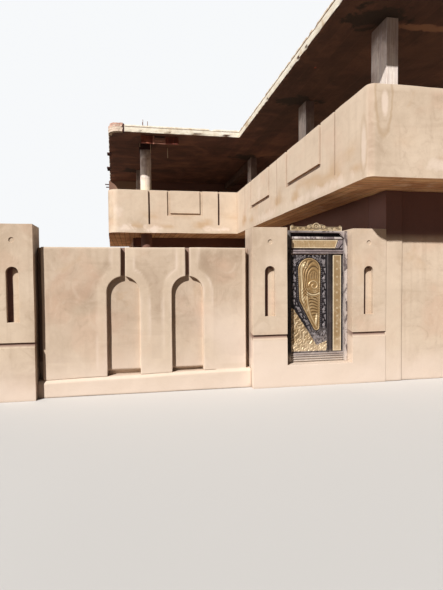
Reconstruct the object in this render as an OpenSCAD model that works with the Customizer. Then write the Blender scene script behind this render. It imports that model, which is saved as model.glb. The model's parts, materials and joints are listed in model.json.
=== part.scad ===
// Two-storey plastered house with a walled courtyard, an arched street wall and a steel gate.
// Millimetres, +Z up. The street runs along X, the house stands back along +Y.
// The origin is at ground level, in the middle of the whole plan.

/* [Street wall] */
// Height of the street wall
wall_h = 2630; // [2300:10:3000]
// Thickness of the wall behind the raised panels
wall_t = 200; // [150:10:250]
// Depth of the raised panels in front of that wall
panel_t = 200; // [120:10:220]
// Height of the plinth at the left pier
plinth_left_h = 300; // [250:10:350]
// Height of the plinth at the gate pier
plinth_right_h = 371; // [300:1:450]
// How far the plinth stands in front of the raised panels
plinth_out = 40; // [20:5:60]
// Drop of the plinth's sloping top edge
plinth_bevel = 45; // [20:5:60]
// Plain length of the left panel up to the first arch centre
first_arch_run = 1475; // [1300:5:1600]
// Distance between the two arch centres
arch_pitch = 1156; // [1000:2:1250]
// Plain length from the second arch centre to the end of the last panel
last_arch_run = 1099; // [1000:1:1200]
// Open joint between the end panels and the piers
pier_joint = 90; // [60:10:120]

/* [Arched recesses] */
// Radius of the round head
arch_r = 292; // [250:2:320]
// Height of the crown of the arch above the ground
arch_top = 2110; // [1900:10:2250]
// Width of the slot from the crown of the arch to the top of the wall
arch_slot_w = 75; // [50:5:100]

/* [Piers] */
// Height of the piers
pier_h = 3000; // [2700:10:3400]
// Width of a pier
pier_w = 670; // [600:10:720]
// Depth of a pier
pier_d = 580; // [500:10:620]
// Height of the underside of the raised upper face
ledge_h = 1000; // [800:10:1200]
// Height of the groove below that face
groove_h = 85; // [60:5:110]
// Depth of the groove
groove_d = 38; // [20:2:60]
// Height of the groove's upright back above its sloping foot
groove_back_h = 35; // [20:5:50]
// Width of the round-headed niche
niche_w = 200; // [160:10:240]
// Height of the foot of the niche
niche_foot = 1345; // [1200:5:1450]
// Height of the crown of the niche
niche_top = 2280; // [2100:10:2400]
// Depth of the niche
niche_d = 110; // [60:5:140]
// Diameter of the round dimple above the niche
dimple_dia = 88; // [60:2:110]
// Height of the dimple's centre
dimple_z = 2730; // [2600:10:2850]
// Depth of the dimple
dimple_d = 17; // [10:1:30]

/* [Gate] */
// Clear width between the gate piers
gate_w = 1320; // [1250:10:1400]
// Height of the threshold
sill_h = 410; // [350:10:450]
// Height of the top of the steel frame
gate_top = 2970; // [2900:10:3000]
// Setback of the steel frame from the pier fronts
gate_set = 290; // [200:10:320]
// Width of the steel frame
frame_w = 1230; // [1200:10:1250]
// Width of a frame post
post_w = 60; // [40:5:70]
// Depth of the frame behind the leaf's front
frame_d = 60; // [50:5:80]
// How far the posts and the top rail stand in front of the panels
hood_d = 65; // [40:5:80]
// Side of the braces in the frame's top corners
brace_s = 110; // [80:5:140]
// Height of the bottom rail
bottom_rail_h = 180; // [120:10:200]
// Height of the underside of the transom rail
transom_z = 2520; // [2400:10:2600]
// Height of the transom rail
transom_h = 85; // [60:5:100]
// Height of the top rail
top_rail_h = 38; // [30:2:60]
// Height of the top light's gilt field
light_field_h = 166; // [140:2:180]
// Width of the hinged leaf with its clearances
leaf_bay_w = 780; // [760:5:800]
// Width of the mullion beside the leaf
mullion_w = 85; // [60:5:100]
// Clearance all round the leaf
leaf_gap = 6; // [5:1:10]
// Thickness of the leaf
leaf_t = 50; // [40:2:55]
// Setback of the leaf's front from the rails' fronts
leaf_set = 15; // [10:1:20]
// Radius of the round head of the leaf's gilt field
field_head_r = 230; // [200:5:250]
// Radius of that field's rounded tip
field_tip_r = 65; // [50:5:90]
// Height of the highest point of the crown above the frame
crown_h = 165; // [140:5:180]
// Setback of the crown from the rails' fronts
crown_set = 24; // [10:2:40]
// Height of a hinge's post and of its sleeve
hinge_h = 60; // [40:5:80]
// Radius of a hinge
hinge_r = 12; // [10:1:15]

/* [House] */
// Distance of the pier fronts behind the upper storey's front
street_set = 1080; // [900:10:1200]
// Distance of the first-floor parapet of the left wing behind the front
court_d = 9800; // [9000:50:10500]
// Width of the first floor of the front wing
wing_w = 6303; // [6000:1:6600]
// Length of the left wing's parapet
left_wing_w = 4717; // [4400:1:5000]
// Distance from the left pier's outer face to the left wing's end
left_end = 1500; // [1300:10:1700]
// Depth of the house behind the left wing's parapet
block_d = 7300; // [6500:50:8000]
// Overhang of the first floor beyond the walls below
overhang = 963; // [850:1:1050]
// Height of the underside of the first floor
soffit_z = 3750; // [3500:10:4000]
// Thickness of the first floor
slab_t = 250; // [200:10:300]
// Thickness of the ground-floor walls
house_wall_t = 240; // [200:10:300]
// Setback of the front wing's pilasters from the pier fronts
pilaster_set = 20; // [0:5:40]
// Setback of the front wing's front wall from the pier fronts
front_wall_set = 50; // [30:5:80]
// Width of the pilasters at the front wing's corners
pilaster_w = 360; // [300:10:420]
// Depth of those pilasters
pilaster_d = 680; // [600:10:760]
// Distance of the main block's front wall behind its parapet
court_wall_set = 2030; // [1900:10:2200]
// Height of the ground-floor level
floor_h = 400; // [350:10:450]
// Splay of the left end towards the back, in degrees
splay = 2.3; // [0:0.1:4]
// Width of the doorways to the courtyard
door_w = 1000; // [900:10:1200]
// Height of the doorways above the floor
door_h = 2200; // [2000:10:2400]

/* [Parapets] */
// Height of the top of the parapets
parapet_z = 5290; // [5100:10:5500]
// Thickness of the parapets
parapet_t = 200; // [150:10:250]
// Width of the upright flutes
flute_w = 65; // [40:5:80]
// Depth of the upright flutes
flute_d = 80; // [50:5:90]
// Width of the groove round a panel
panel_groove_w = 115; // [90:5:130]
// Depth of the groove round a panel
panel_groove_d = 55; // [40:5:70]
// Height of the foot of that groove
panel_foot = 4382; // [4300:2:4500]
// Radius of the left wing's rounded end
round_end_r = 375; // [300:5:450]
// Radius of the front wing's corners
round_corner_r = 120; // [60:5:150]

/* [Upper storey] */
// Height of the underside of the roof
roof_z = 7060; // [6900:10:7200]
// Thickness of the roof
roof_t = 250; // [200:10:300]
// Width of the oblong columns
column_w = 250; // [200:10:300]
// Depth of the oblong columns
column_d = 580; // [500:10:650]
// Distance of the second pair of columns behind the pier fronts
second_column_run = 4210; // [4000:10:4500]
// Distance of the third pair of columns behind the left wing's parapet
third_column_set = 1590; // [1400:10:1800]
// Distance of the rear column from the left wing's end
rear_column_run = 1050; // [900:10:1200]
// Distance of the rear column behind the left wing's parapet
rear_column_set = 4580; // [4400:10:4800]
// Diameter of the round column
round_column_dia = 405; // [380:5:480]
// Distance of the round column from the left wing's end
round_column_run = 1355; // [1200:5:1500]
// Distance of the round column behind the left wing's parapet
round_column_set = 640; // [500:10:800]
// Overhang of the roof beyond the parapets
roof_out = 120; // [80:5:150]
// Setback of the front edge of the roof behind the front parapet
roof_set = 40; // [0:10:120]
// Overhang of the left wing's roof in front of its parapet
roof_over = 880; // [800:10:950]
// Length of the brick kerb on the roof's left corner
kerb_run = 520; // [400:10:600]
// Width of that kerb
kerb_w = 120; // [100:5:140]
// Height of that kerb above the roof
kerb_rise = 65; // [40:5:120]

/* [Hidden] */
$fn = 64;

plaster = [0.84, 0.71, 0.58];
shade_plaster = [0.62, 0.45, 0.34];
concrete = [0.72, 0.67, 0.60];
roof_edge = [0.88, 0.84, 0.76];
gunmetal = [0.20, 0.20, 0.23];
gold = [0.66, 0.52, 0.24];
timber = [0.50, 0.22, 0.14];
rust = [0.40, 0.24, 0.16];

// Plan lines along Y
pier_y = street_set;
panel_y = pier_y + pier_d - wall_t - panel_t;
wall_y = panel_y + panel_t;
wall_back = wall_y + wall_t;
gate_y = pier_y + gate_set;
block_y = court_d;
back_y = block_y + block_d;

// Plan lines along X
panel_x = pier_w + pier_joint;
arch_x = [pier_w + first_arch_run, pier_w + first_arch_run + arch_pitch];
panel_end_x = arch_x[1] + last_arch_run;
pier2_x = panel_end_x + pier_joint;
gate_x = pier2_x + pier_w;
pier3_x = gate_x + gate_w;
frame_x = pier3_x - frame_w;
wing_x = left_end + left_wing_w;
right_x = wing_x + wing_w;
wall_x = wing_x + overhang;
wall_right_x = right_x - overhang;
plan_w = right_x + roof_out;
plan_d = back_y;

// Levels
floor_z = soffit_z + slab_t;
door_z = floor_h + door_h;

// Shifts the plan so that the origin is in its middle
module place() translate([-plan_w / 2, -plan_d / 2, 0]) children();

// A block from one corner to the other
module block(low, high) translate(low) cube(high - low);

// An outline drawn in X and Z, as a solid between two lines along Y
module upright(y0, y1) translate([0, y1, 0]) rotate([90, 0, 0]) linear_extrude(y1 - y0) children();

// Street wall

module left_pier() color(plaster) place() translate([0, pier_y, 0]) pier(pier_w);
module gate_pier_left() color(plaster) place() {
    translate([pier2_x, pier_y, 0]) pier(pier_w);
    // rebate that the frame is set in
    block([gate_x, gate_y, sill_h], [frame_x, wall_back, pier_h]);
}
module gate_pier_right() color(plaster) place()
    translate([pier3_x, pier_y, 0]) pier(wall_x - pier3_x);

// Pier with a raised upper face, a groove below it, a niche and a dimple
module pier(width) difference() {
    cube([width, pier_d, pier_h]);
    translate([-1, 0, 0]) rotate([90, 0, 90]) linear_extrude(width + 2)
        polygon([[-1, ledge_h], [groove_d, ledge_h], [groove_d, ledge_h - groove_back_h],
                 [0, ledge_h - groove_h], [-1, ledge_h - groove_h]]);
    translate([pier_w / 2, 0, 0]) {
        translate([-niche_w / 2, -1, niche_foot])
            cube([niche_w, niche_d + 1, niche_top - niche_w / 2 - niche_foot]);
        translate([0, niche_d, niche_top - niche_w / 2]) rotate([90, 0, 0])
            cylinder(d = niche_w, h = niche_d + 1);
        translate([0, dimple_d, dimple_z]) rotate([90, 0, 0])
            cylinder(d = dimple_dia, h = dimple_d + 1);
    }
}

// Top of the plinth, which climbs with the street
plinth_slope = atan((plinth_right_h - plinth_left_h) / (pier2_x - pier_w));
function plinth_h(x) = plinth_left_h + (x - pier_w) * tan(plinth_slope);

// Plinth with a sloping front edge, lofted between its two end outlines
module street_plinth() color(plaster) place() {
    front = panel_y - plinth_out;
    ends = [for (x = [pier_w, pier2_x]) let (h = plinth_h(x))
        [[x, front, 0], [x, front, h - plinth_bevel], [x, panel_y, h], [x, wall_back, h],
         [x, wall_back, 0]]];
    polyhedron(concat(ends[0], ends[1]),
               concat([[4, 3, 2, 1, 0], [5, 6, 7, 8, 9]],
                      [for (i = [0:4]) [i, (i + 1) % 5, (i + 1) % 5 + 5, i + 5]]));
}
module street_wall() color(plaster) place()
    upright(wall_y, wall_back) wall_outline(pier_w, pier2_x);

module wall_panel_left() color(plaster) place() wall_panel(panel_x, arch_x[0]);
module wall_panel_middle() color(plaster) place() wall_panel(arch_x[0], arch_x[1]);
module wall_panel_right() color(plaster) place() wall_panel(arch_x[1], panel_end_x);

// Wall between two lines, from the plinth up
module wall_outline(x0, x1)
    polygon([[x0, plinth_h(x0)], [x1, plinth_h(x1)], [x1, wall_h], [x0, wall_h]]);

// Raised panel between two lines, less the arched recesses on them
module wall_panel(x0, x1) upright(panel_y, wall_y) difference() {
    wall_outline(x0, x1);
    for (x = arch_x) translate([x, 0]) arch_recess();
}

// Outline of a round-headed recess with the slot above it
module arch_recess() {
    spring_z = arch_top - arch_r;
    translate([-arch_r, 0]) square([2 * arch_r, spring_z]);
    translate([0, spring_z]) circle(r = arch_r);
    translate([-arch_slot_w / 2, spring_z]) square([arch_slot_w, wall_h]);
}

module gate_threshold() color(plaster) place()
    block([gate_x, pier_y, 0], [pier3_x, wall_back, sill_h]);

// Gate

leaf_x = frame_x + post_w;
mullion_x = leaf_x + leaf_bay_w;
side_x = mullion_x + mullion_w;
side_end_x = pier3_x - post_w;
rail_z = sill_h + bottom_rail_h;
light_z = transom_z + transom_h;
light_top = gate_top - top_rail_h;
hood_y = gate_y - hood_d;
sheet_t = 16;
sheet_set = 25;
field_t = 10;
rim_t = 5;
rim_w = 14;

module gate_frame() color(gunmetal) place() {
    block([frame_x, hood_y, sill_h], [leaf_x, gate_y + frame_d, gate_top]);
    block([side_end_x, hood_y, sill_h], [pier3_x, gate_y + frame_d, gate_top]);
    block([leaf_x, hood_y, light_top], [side_end_x, gate_y + frame_d, gate_top]);
    block([leaf_x, gate_y, sill_h], [side_end_x, gate_y + frame_d, rail_z]);
    block([leaf_x, gate_y, transom_z], [side_end_x, gate_y + frame_d, light_z]);
    block([mullion_x, gate_y, rail_z], [side_x, gate_y + frame_d, transom_z]);
    // brace across the top corner
    upright(hood_y, gate_y) polygon([[side_end_x, light_top], [side_end_x - brace_s, light_top],
                                     [side_end_x, light_top - brace_s]]);
}

// Sheet with a raised gilt field and a rim round it
module framed_sheet(width, height, field_low, field_high) {
    cube([width, sheet_t, height]);
    rotate([90, 0, 0]) {
        linear_extrude(field_t) translate(field_low) square(field_high - field_low);
        linear_extrude(field_t + rim_t) difference() {
            translate(field_low) square(field_high - field_low);
            translate(field_low + [rim_w, rim_w]) square(field_high - field_low - 2 * [rim_w, rim_w]);
        }
    }
}

module gate_transom_panel() color(gold) place() {
    width = side_end_x - leaf_x;
    left_border = 40;
    right_border = 100;
    foot_border = 30;
    translate([leaf_x, gate_y + sheet_set, light_z])
        framed_sheet(width, light_top - light_z, [left_border, foot_border],
                     [width - right_border, foot_border + light_field_h]);
}
module gate_side_panel() color(gold) place() {
    width = side_end_x - side_x;
    height = transom_z - rail_z;
    border = [35, 10];
    translate([side_x, gate_y + sheet_set, rail_z])
        framed_sheet(width, height, border, [width, height] - border);
}

crown_t = 12;
crown_strip_h = 92;
dome_r = 76;

module gate_crown() color(gold) place()
    translate([(frame_x + pier3_x) / 2, gate_y + crown_set + crown_t, gate_top]) rotate([90, 0, 0])
        linear_extrude(crown_t) crown_outline();

// Strip that swells into shoulders and a pierced dome in the middle, with a finial near each end
module crown_outline() {
    half_w = 535;
    steps = 107;
    // piercings on both sides of the middle: distance from it, depth below the top, radius
    piercings = [[0, 36, 13], [46, 62, 13], [104, 93, 8]];
    difference() {
        polygon(concat([[-half_w, 0]], [for (i = [0:steps]) let (x = half_w * (2 * i / steps - 1))
            [x, crown_top(x)]], [[half_w, 0]]));
        for (p = piercings, side = [-1, 1])
            translate([side * p[0], crown_h - p[1]]) circle(r = p[2]);
    }
}
// Height of the crown at a distance from its middle
function crown_top(x) = let (shoulder_rise = 46, shoulder_run = [104, 230], finial_r = 28, finial_x = 495)
    max(crown_strip_h + shoulder_rise * fall(abs(x), shoulder_run),
        crown_h - dome_r + arc_h(dome_r, x),
        crown_strip_h + arc_h(finial_r, abs(x) - finial_x));
// Smooth fall from 1 at the run's start to 0 at its end
function fall(x, run) = 0.5 + 0.5 * cos(180 * min(1, max(0, (x - run[0]) / (run[1] - run[0]))));
function arc_h(r, x) = abs(x) < r ? sqrt(r * r - x * x) : -r;

// Hinges: a lower post welded to the frame with a pin, and a sleeve on the leaf

hinge_end = 200;
hinge_z = [rail_z + hinge_end, (rail_z + transom_z) / 2, transom_z - hinge_end - 2 * hinge_h];
pin_r = 7;
pin_h = 50;
pin_clear = 0.4;
sleeve_gap = 1;
leaf_back_y = gate_y + leaf_set + leaf_t;
axis_x = leaf_x + leaf_gap / 2;
hinge_out = 5;
axis_y = leaf_back_y + hinge_out + hinge_r;

module gate_hinge_posts() color(gunmetal) place() for (z = hinge_z) {
    translate([axis_x, axis_y, z]) cylinder(r = hinge_r, h = hinge_h);
    translate([axis_x, axis_y, z]) cylinder(r = pin_r, h = hinge_h + pin_h);
    block([axis_x - hinge_r, gate_y + frame_d, z], [leaf_x, axis_y, z + hinge_h]);
}

module gate_hinge_sleeves() color(gunmetal) place() for (z = hinge_z) translate([0, 0, z + hinge_h])
    difference() {
        union() {
            translate([axis_x, axis_y, sleeve_gap]) cylinder(r = hinge_r, h = hinge_h);
            block([leaf_x + leaf_gap, leaf_back_y, sleeve_gap],
                  [axis_x + hinge_r, axis_y, sleeve_gap + hinge_h]);
        }
        translate([axis_x, axis_y, 0]) cylinder(r = pin_r + pin_clear, h = pin_h + 2);
    }

module gate_leaf() color(gunmetal) place()
    block([leaf_x + leaf_gap, leaf_back_y - leaf_t, rail_z + leaf_gap],
          [mullion_x - leaf_gap, leaf_back_y, transom_z - leaf_gap]);

// Gilt field with a round head, drawn in to a rounded tip at the lower right, with scroll work on it
module gate_leaf_panel() color(gold) place() {
    relief_t = 7;
    translate([leaf_x, leaf_back_y - leaf_t, 0]) rotate([90, 0, 0]) {
        linear_extrude(field_t) leaf_field_outline();
        linear_extrude(field_t + relief_t) leaf_scrolls();
    }
}

// Places on the leaf: centre of the head, of the left side's swell, of the tip and of the large scroll
head = [405, 2215];
swell = [355, 1660];
swell_r = 160;
tip = [550, 1085];
eye = [493, 1905];
stem_r = 1000;
stem_centre = [1361, 1688];

module leaf_field_outline() {
    rounds = [[head, field_head_r], [swell, swell_r], [tip, field_tip_r]];
    polygon([head, swell, tip]);
    for (i = [0:2]) {
        translate(rounds[i][0]) circle(r = rounds[i][1]);
        band(rounds[i], rounds[(i + 1) % 3]);
    }
}

// Straight-sided band that touches two circles, each given as centre and radius
module band(first, second) {
    run = second[0] - first[0];
    way = atan2(run.y, run.x);
    lean = acos((first[1] - second[1]) / norm(run));
    polygon([for (c = [first, second]) c[0] + c[1] * [cos(way + lean), sin(way + lean)],
             for (c = [second, first]) c[0] + c[1] * [cos(way - lean), sin(way - lean)]]);
}

// One large scroll, its stem down to the tip, a small scroll in the head and leaflets off the stem
module leaf_scrolls() {
    head_scroll = head + [-30, 10];
    band_centre = head + [250, -80];
    band_r = 330;
    leaflets = [1210:85:1720];
    leaflet_share = 0.4;
    leaflet_clear = 15;
    scroll(stem_centre, stem_r, stem_r, 167, 214, 24);
    scroll(eye, 22, 108, 90, 540, 20);
    scroll(head_scroll, 16, 92, 0, 450, 16);
    scroll(band_centre, band_r, band_r, 165, 207, 15);
    for (z = leaflets)
        let (stem_x = stem_centre.x - sqrt(stem_r * stem_r - pow(z - stem_centre.y, 2)),
             reach = leaflet_share * (tip.x + field_tip_r - leaflet_clear - stem_x))
            scroll([stem_x + reach, z + reach / 2], reach, 0.8 * reach, 190, 335, 15);
}

// Ribbon along a spiral: radius r0 at turn t0 to r1 at t1, thin at its ends
module scroll(centre, r0, r1, t0, t1, width) {
    turn_step = 15;
    end_share = 0.15;
    steps = ceil((t1 - t0) / turn_step);
    edge = function (i, side) let (k = i / steps, r = r0 + (r1 - r0) * k, t = t0 + (t1 - t0) * k)
        centre + (r + side * (1 + width * sin(180 * min(1, end_share + k))) / 2) * [cos(t), sin(t)];
    polygon(concat([for (i = [0:steps]) edge(i, 1)], [for (i = [steps:-1:0]) edge(i, -1)]));
}

// Ground floor

pilaster_y = pier_y + pilaster_set;
front_wall_y = pier_y + front_wall_set;
court_wall_y = block_y + court_wall_set;
wing_door_run = 6000;
wing_door_y = pier_y + wing_door_run;
wing_inner_w = wall_right_x - wall_x - 2 * pilaster_w;
house_door_run = 2600;
house_door_x = wall_x - house_door_run;
left_wall_x = left_end + overhang;

function splay_shift(y) = -tan(splay) * (y - block_y);

module corner_pilaster_left() color(plaster) place() translate([wall_x, pilaster_y, 0])
    cube([pilaster_w, pilaster_d, soffit_z]);
module corner_pilaster_right() color(plaster) place()
    translate([wall_right_x - pilaster_w, pilaster_y, 0]) cube([pilaster_w, pilaster_d, soffit_z]);
module wing_front_wall() color(plaster) place()
    block([wall_x + pilaster_w, front_wall_y, 0],
          [wall_right_x - pilaster_w, front_wall_y + house_wall_t, soffit_z]);

module wing_court_wall_front() color(plaster) place()
    block([wall_x, pilaster_y + pilaster_d, 0], [wall_x + house_wall_t, wing_door_y, soffit_z]);
module wing_court_wall_back() color(plaster) place()
    block([wall_x, wing_door_y + door_w, 0], [wall_x + house_wall_t, court_wall_y, soffit_z]);
module wing_door_lintel() color(plaster) place()
    block([wall_x, wing_door_y, door_z], [wall_x + house_wall_t, wing_door_y + door_w, soffit_z]);
module wing_right_wall() color(plaster) place()
    block([wall_right_x - house_wall_t, pilaster_y + pilaster_d, 0],
          [wall_right_x, back_y - house_wall_t, soffit_z]);

module house_court_wall_left() color(plaster) place()
    block([left_wall_x, court_wall_y, 0], [house_door_x, court_wall_y + house_wall_t, soffit_z]);
module house_court_wall_right() color(plaster) place()
    block([house_door_x + door_w, court_wall_y, 0],
          [wall_x + house_wall_t, court_wall_y + house_wall_t, soffit_z]);
module house_door_lintel() color(plaster) place()
    block([house_door_x, court_wall_y, door_z],
          [house_door_x + door_w, court_wall_y + house_wall_t, soffit_z]);

// Wall along the splayed left end
module house_left_wall() color(plaster) place() linear_extrude(soffit_z) {
    y0 = court_wall_y + house_wall_t;
    y1 = back_y - house_wall_t;
    polygon([[left_wall_x + splay_shift(y0), y0], [left_wall_x + splay_shift(y0) + house_wall_t, y0],
             [left_wall_x + splay_shift(y1) + house_wall_t, y1], [left_wall_x + splay_shift(y1), y1]]);
}
module house_back_wall() color(plaster) place()
    block([left_wall_x + splay_shift(back_y), back_y - house_wall_t, 0],
          [wall_right_x, back_y, soffit_z]);

// Floor of the main block up to its splayed wall, with the doorway's sill
module house_floor() color(concrete) place() linear_extrude(floor_h) {
    x0 = left_wall_x + house_wall_t;
    y0 = court_wall_y + house_wall_t;
    y1 = back_y - house_wall_t;
    polygon([[x0 + splay_shift(y0), y0], [wall_right_x - house_wall_t, y0],
             [wall_right_x - house_wall_t, y1], [x0 + splay_shift(y1), y1]]);
    translate([house_door_x, court_wall_y]) square([door_w, house_wall_t]);
}

// Floor of the front wing round the backs of the pilasters, with the doorway's sill
module wing_floor() color(concrete) place() linear_extrude(floor_h) {
    y0 = front_wall_y + house_wall_t;
    y1 = pilaster_y + pilaster_d;
    x0 = wall_x + house_wall_t;
    x1 = wall_right_x - house_wall_t;
    translate([wall_x + pilaster_w, y0]) square([wing_inner_w, y1 - y0]);
    translate([x0, y1]) square([x1 - x0, court_wall_y + house_wall_t - y1]);
    translate([wall_x, wing_door_y]) square([house_wall_t, door_w]);
}

module yard_side_wall() color(plaster) place()
    block([0, wall_back, 0], [wall_t, back_y, wall_h]);
module yard_back_wall() color(plaster) place()
    block([wall_t, back_y - wall_t, 0], [left_wall_x + splay_shift(back_y), back_y, wall_h]);

// Round column under and over the left wing's first floor

round_column_x = left_end + round_column_run;
round_column_y = block_y + round_column_set;

module lower_round_column() color(shade_plaster) place()
    translate([round_column_x, round_column_y, 0]) cylinder(d = round_column_dia, h = soffit_z);
module upper_round_column() color(concrete) place()
    translate([round_column_x, round_column_y, floor_z])
        cylinder(d = round_column_dia, h = roof_z - floor_z);

// First floor

module first_floor_wing() color(plaster) place() translate([0, 0, soffit_z])
    linear_extrude(slab_t) wing_outline();
module first_floor_house() color(plaster) place() translate([0, 0, soffit_z])
    linear_extrude(slab_t) house_outline(0);

// Front wing with rounded street corners
module wing_outline() {
    r = round_corner_r;
    for (x = [wing_x + r, right_x - r]) translate([x, r]) circle(r = r);
    translate([wing_x + r, 0]) square([wing_w - 2 * r, block_y]);
    translate([wing_x, r]) square([wing_w, block_y - r]);
}

// Main block with a rounded and splayed left end, drawn in by a margin
module house_outline(inset) rounded_block(left_end, block_y, right_x, inset);

// Outline with a splayed left side, its corner rounded, from a front line to the back
module rounded_block(left, front, right, inset) {
    round_steps = 16;
    r = round_end_r - inset;
    side = left + inset / cos(splay);
    centre = [side + splay_shift(front + round_end_r) + r / cos(splay), front + round_end_r];
    round_end = [for (i = [0:round_steps]) let (turn = 180 + splay + (90 - splay) * i / round_steps)
                 centre + r * [cos(turn), sin(turn)]];
    polygon(concat(round_end, [[right - inset, front + inset], [right - inset, back_y],
                               [side + splay_shift(back_y), back_y]]));
}

// Parapets

flute_rise = 60;
side_flutes = [1329, 4983, 8605];
side_panels = [[2012, 4240], [5684, 7884]];
front_flutes = [1329, wing_w - 1329];
front_panels = [[2012, wing_w - 2012]];
left_flutes = [1441, 4009];
left_panels = [[2088, 3405]];

// Flutes and grooves to be cut from a parapet along +X whose outer face is at y = 0
module parapet_cuts(flutes, panels) {
    above = parapet_z + 1;
    foot_groove_h = 92;
    for (x = flutes)
        block([x - flute_w / 2, -1, floor_z + flute_rise], [x + flute_w / 2, flute_d, above]);
    for (p = panels) {
        block([p[0], -1, panel_foot], [p[1], panel_groove_d, panel_foot + foot_groove_h]);
        block([p[0], -1, panel_foot], [p[0] + panel_groove_w, panel_groove_d, above]);
        block([p[1] - panel_groove_w, -1, panel_foot], [p[1], panel_groove_d, above]);
    }
}

// Turns a run so that it goes back along +Y and faces left
module along_depth() mirror([1, -1, 0]) children();

module parapet_run(from, to) difference() {
    block([from, 0, floor_z], [to, parapet_t, parapet_z]);
    parapet_cuts(side_flutes, side_panels);
}

module parapet_wing_front() color(plaster) place() difference() {
    translate([0, 0, floor_z]) linear_extrude(parapet_z - floor_z) intersection() {
        wing_outline();
        translate([wing_x, 0]) square([wing_w, parapet_t]);
    }
    translate([wing_x, 0, 0]) parapet_cuts(front_flutes, front_panels);
}
module parapet_wing_side() color(plaster) place() translate([wing_x, 0, 0])
    along_depth() parapet_run(parapet_t, court_d + parapet_t);
module parapet_right() color(plaster) place() translate([right_x, 0, 0])
    mirror([1, 0, 0]) along_depth() parapet_run(parapet_t, court_d + block_d - parapet_t);
module parapet_house_front() color(plaster) place() difference() {
    translate([0, 0, floor_z]) linear_extrude(parapet_z - floor_z) difference() {
        intersection() {
            house_outline(0);
            translate([0, block_y]) square([wing_x, round_end_r]);
        }
        house_outline(parapet_t);
    }
    translate([left_end, block_y, 0]) parapet_cuts(left_flutes, left_panels);
}
module parapet_house_left() color(plaster) place()
    translate([0, 0, floor_z]) linear_extrude(parapet_z - floor_z) {
        y0 = block_y + round_end_r;
        y1 = back_y - parapet_t;
        width = parapet_t / cos(splay);
        polygon([[left_end + splay_shift(y0), y0], [left_end + splay_shift(y0) + width, y0],
                 [left_end + splay_shift(y1) + width, y1], [left_end + splay_shift(y1), y1]]);
    }

// Upper storey

module upper_back_wall() color(shade_plaster) place()
    block([left_end + splay_shift(back_y - parapet_t), back_y - parapet_t, floor_z],
          [right_x, back_y, roof_z]);

column_rows = [pilaster_y, pier_y + second_column_run, block_y + third_column_set];

module upper_columns() color(concrete) place() {
    for (x = [wall_x, wall_right_x - column_w], y = column_rows)
        translate([x, y, floor_z]) cube([column_w, column_d, roof_z - floor_z]);
    translate([left_end + rear_column_run, block_y + rear_column_set, floor_z])
        cube([column_w, column_d, roof_z - floor_z]);
}

roof_front_y = roof_set;
roof_block_y = block_y - roof_over;
roof_left_set = 80;
roof_left = left_end + roof_left_set + splay_shift(roof_over + block_y);

module roof_wing() color(roof_edge) place()
    block([wing_x - roof_out, roof_front_y, roof_z], [right_x + roof_out, roof_block_y, roof_z + roof_t]);
module roof_house() color(roof_edge) place() translate([0, 0, roof_z]) linear_extrude(roof_t)
    difference() {
        roof_outline(0);
        intersection() {
            roof_corner_zone();
            difference() {
                roof_outline(0);
                roof_outline(kerb_w);
            }
        }
    }

// Left wing's roof with its rounded corner, drawn in by a margin
module roof_outline(inset) rounded_block(roof_left, roof_block_y, right_x + roof_out, inset);
module roof_corner_zone() translate([roof_left - kerb_run, roof_block_y]) square([2 * kerb_run, kerb_run]);

// Brick kerb round the corner, higher than the roof beside it
module roof_corner_bricks() color(concrete) place() translate([0, 0, roof_z])
    linear_extrude(roof_t + kerb_rise) intersection() {
        roof_corner_zone();
        difference() {
            roof_outline(0);
            roof_outline(kerb_w);
        }
    }

beam_h = 300;
module roof_beam() color(concrete) place()
    block([wall_x, column_rows[2] + column_d, roof_z - beam_h],
          [wall_x + column_w, back_y - parapet_t, roof_z]);

// Box left round the round column's head, and a board under the roof's edge
module formwork_boards() color(timber) place() {
    board_t = 25;
    slack = 4;
    box_h = 205;
    box_s = round_column_dia + slack + 2 * board_t;
    edge_board_x = [left_end + 1173, left_end + 2476];
    edge_board_set = 300;
    edge_board_h = 265;
    translate([round_column_x - box_s / 2, round_column_y - box_s / 2, roof_z - box_h]) difference() {
        cube([box_s, box_s, box_h]);
        translate([board_t, board_t, -1])
            cube([round_column_dia + slack, round_column_dia + slack, box_h + 2]);
    }
    block([edge_board_x[0], roof_block_y + edge_board_set, roof_z - edge_board_h],
          [edge_board_x[1], roof_block_y + edge_board_set + board_t, roof_z]);
}

module starter_bars() color(rust) place() {
    spread = 90;
    bar_r = 8;
    bar_h = 690;
    for (x = [-spread, spread], y = [-spread, spread])
        translate([round_column_x + x, round_column_y + y, roof_z + roof_t])
            cylinder(r = bar_r, h = bar_h);
}

left_pier();
gate_pier_left();
gate_pier_right();
street_wall();
street_plinth();
wall_panel_left();
wall_panel_middle();
wall_panel_right();
gate_threshold();
gate_frame();
gate_transom_panel();
gate_side_panel();
gate_crown();
gate_hinge_posts();
gate_leaf();
gate_leaf_panel();
gate_hinge_sleeves();
corner_pilaster_left();
corner_pilaster_right();
wing_front_wall();
wing_court_wall_front();
wing_court_wall_back();
wing_door_lintel();
wing_right_wall();
house_court_wall_left();
house_court_wall_right();
house_door_lintel();
house_left_wall();
house_back_wall();
house_floor();
wing_floor();
yard_side_wall();
yard_back_wall();
lower_round_column();
first_floor_wing();
first_floor_house();
parapet_wing_front();
parapet_wing_side();
parapet_right();
parapet_house_front();
parapet_house_left();
upper_back_wall();
upper_columns();
upper_round_column();
roof_wing();
roof_house();
roof_corner_bricks();
roof_beam();
formwork_boards();
starter_bars();
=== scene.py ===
import json
import math
import random

import bmesh
import bpy
import numpy as np
from mathutils import Matrix, Vector, geometry, kdtree, noise

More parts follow.
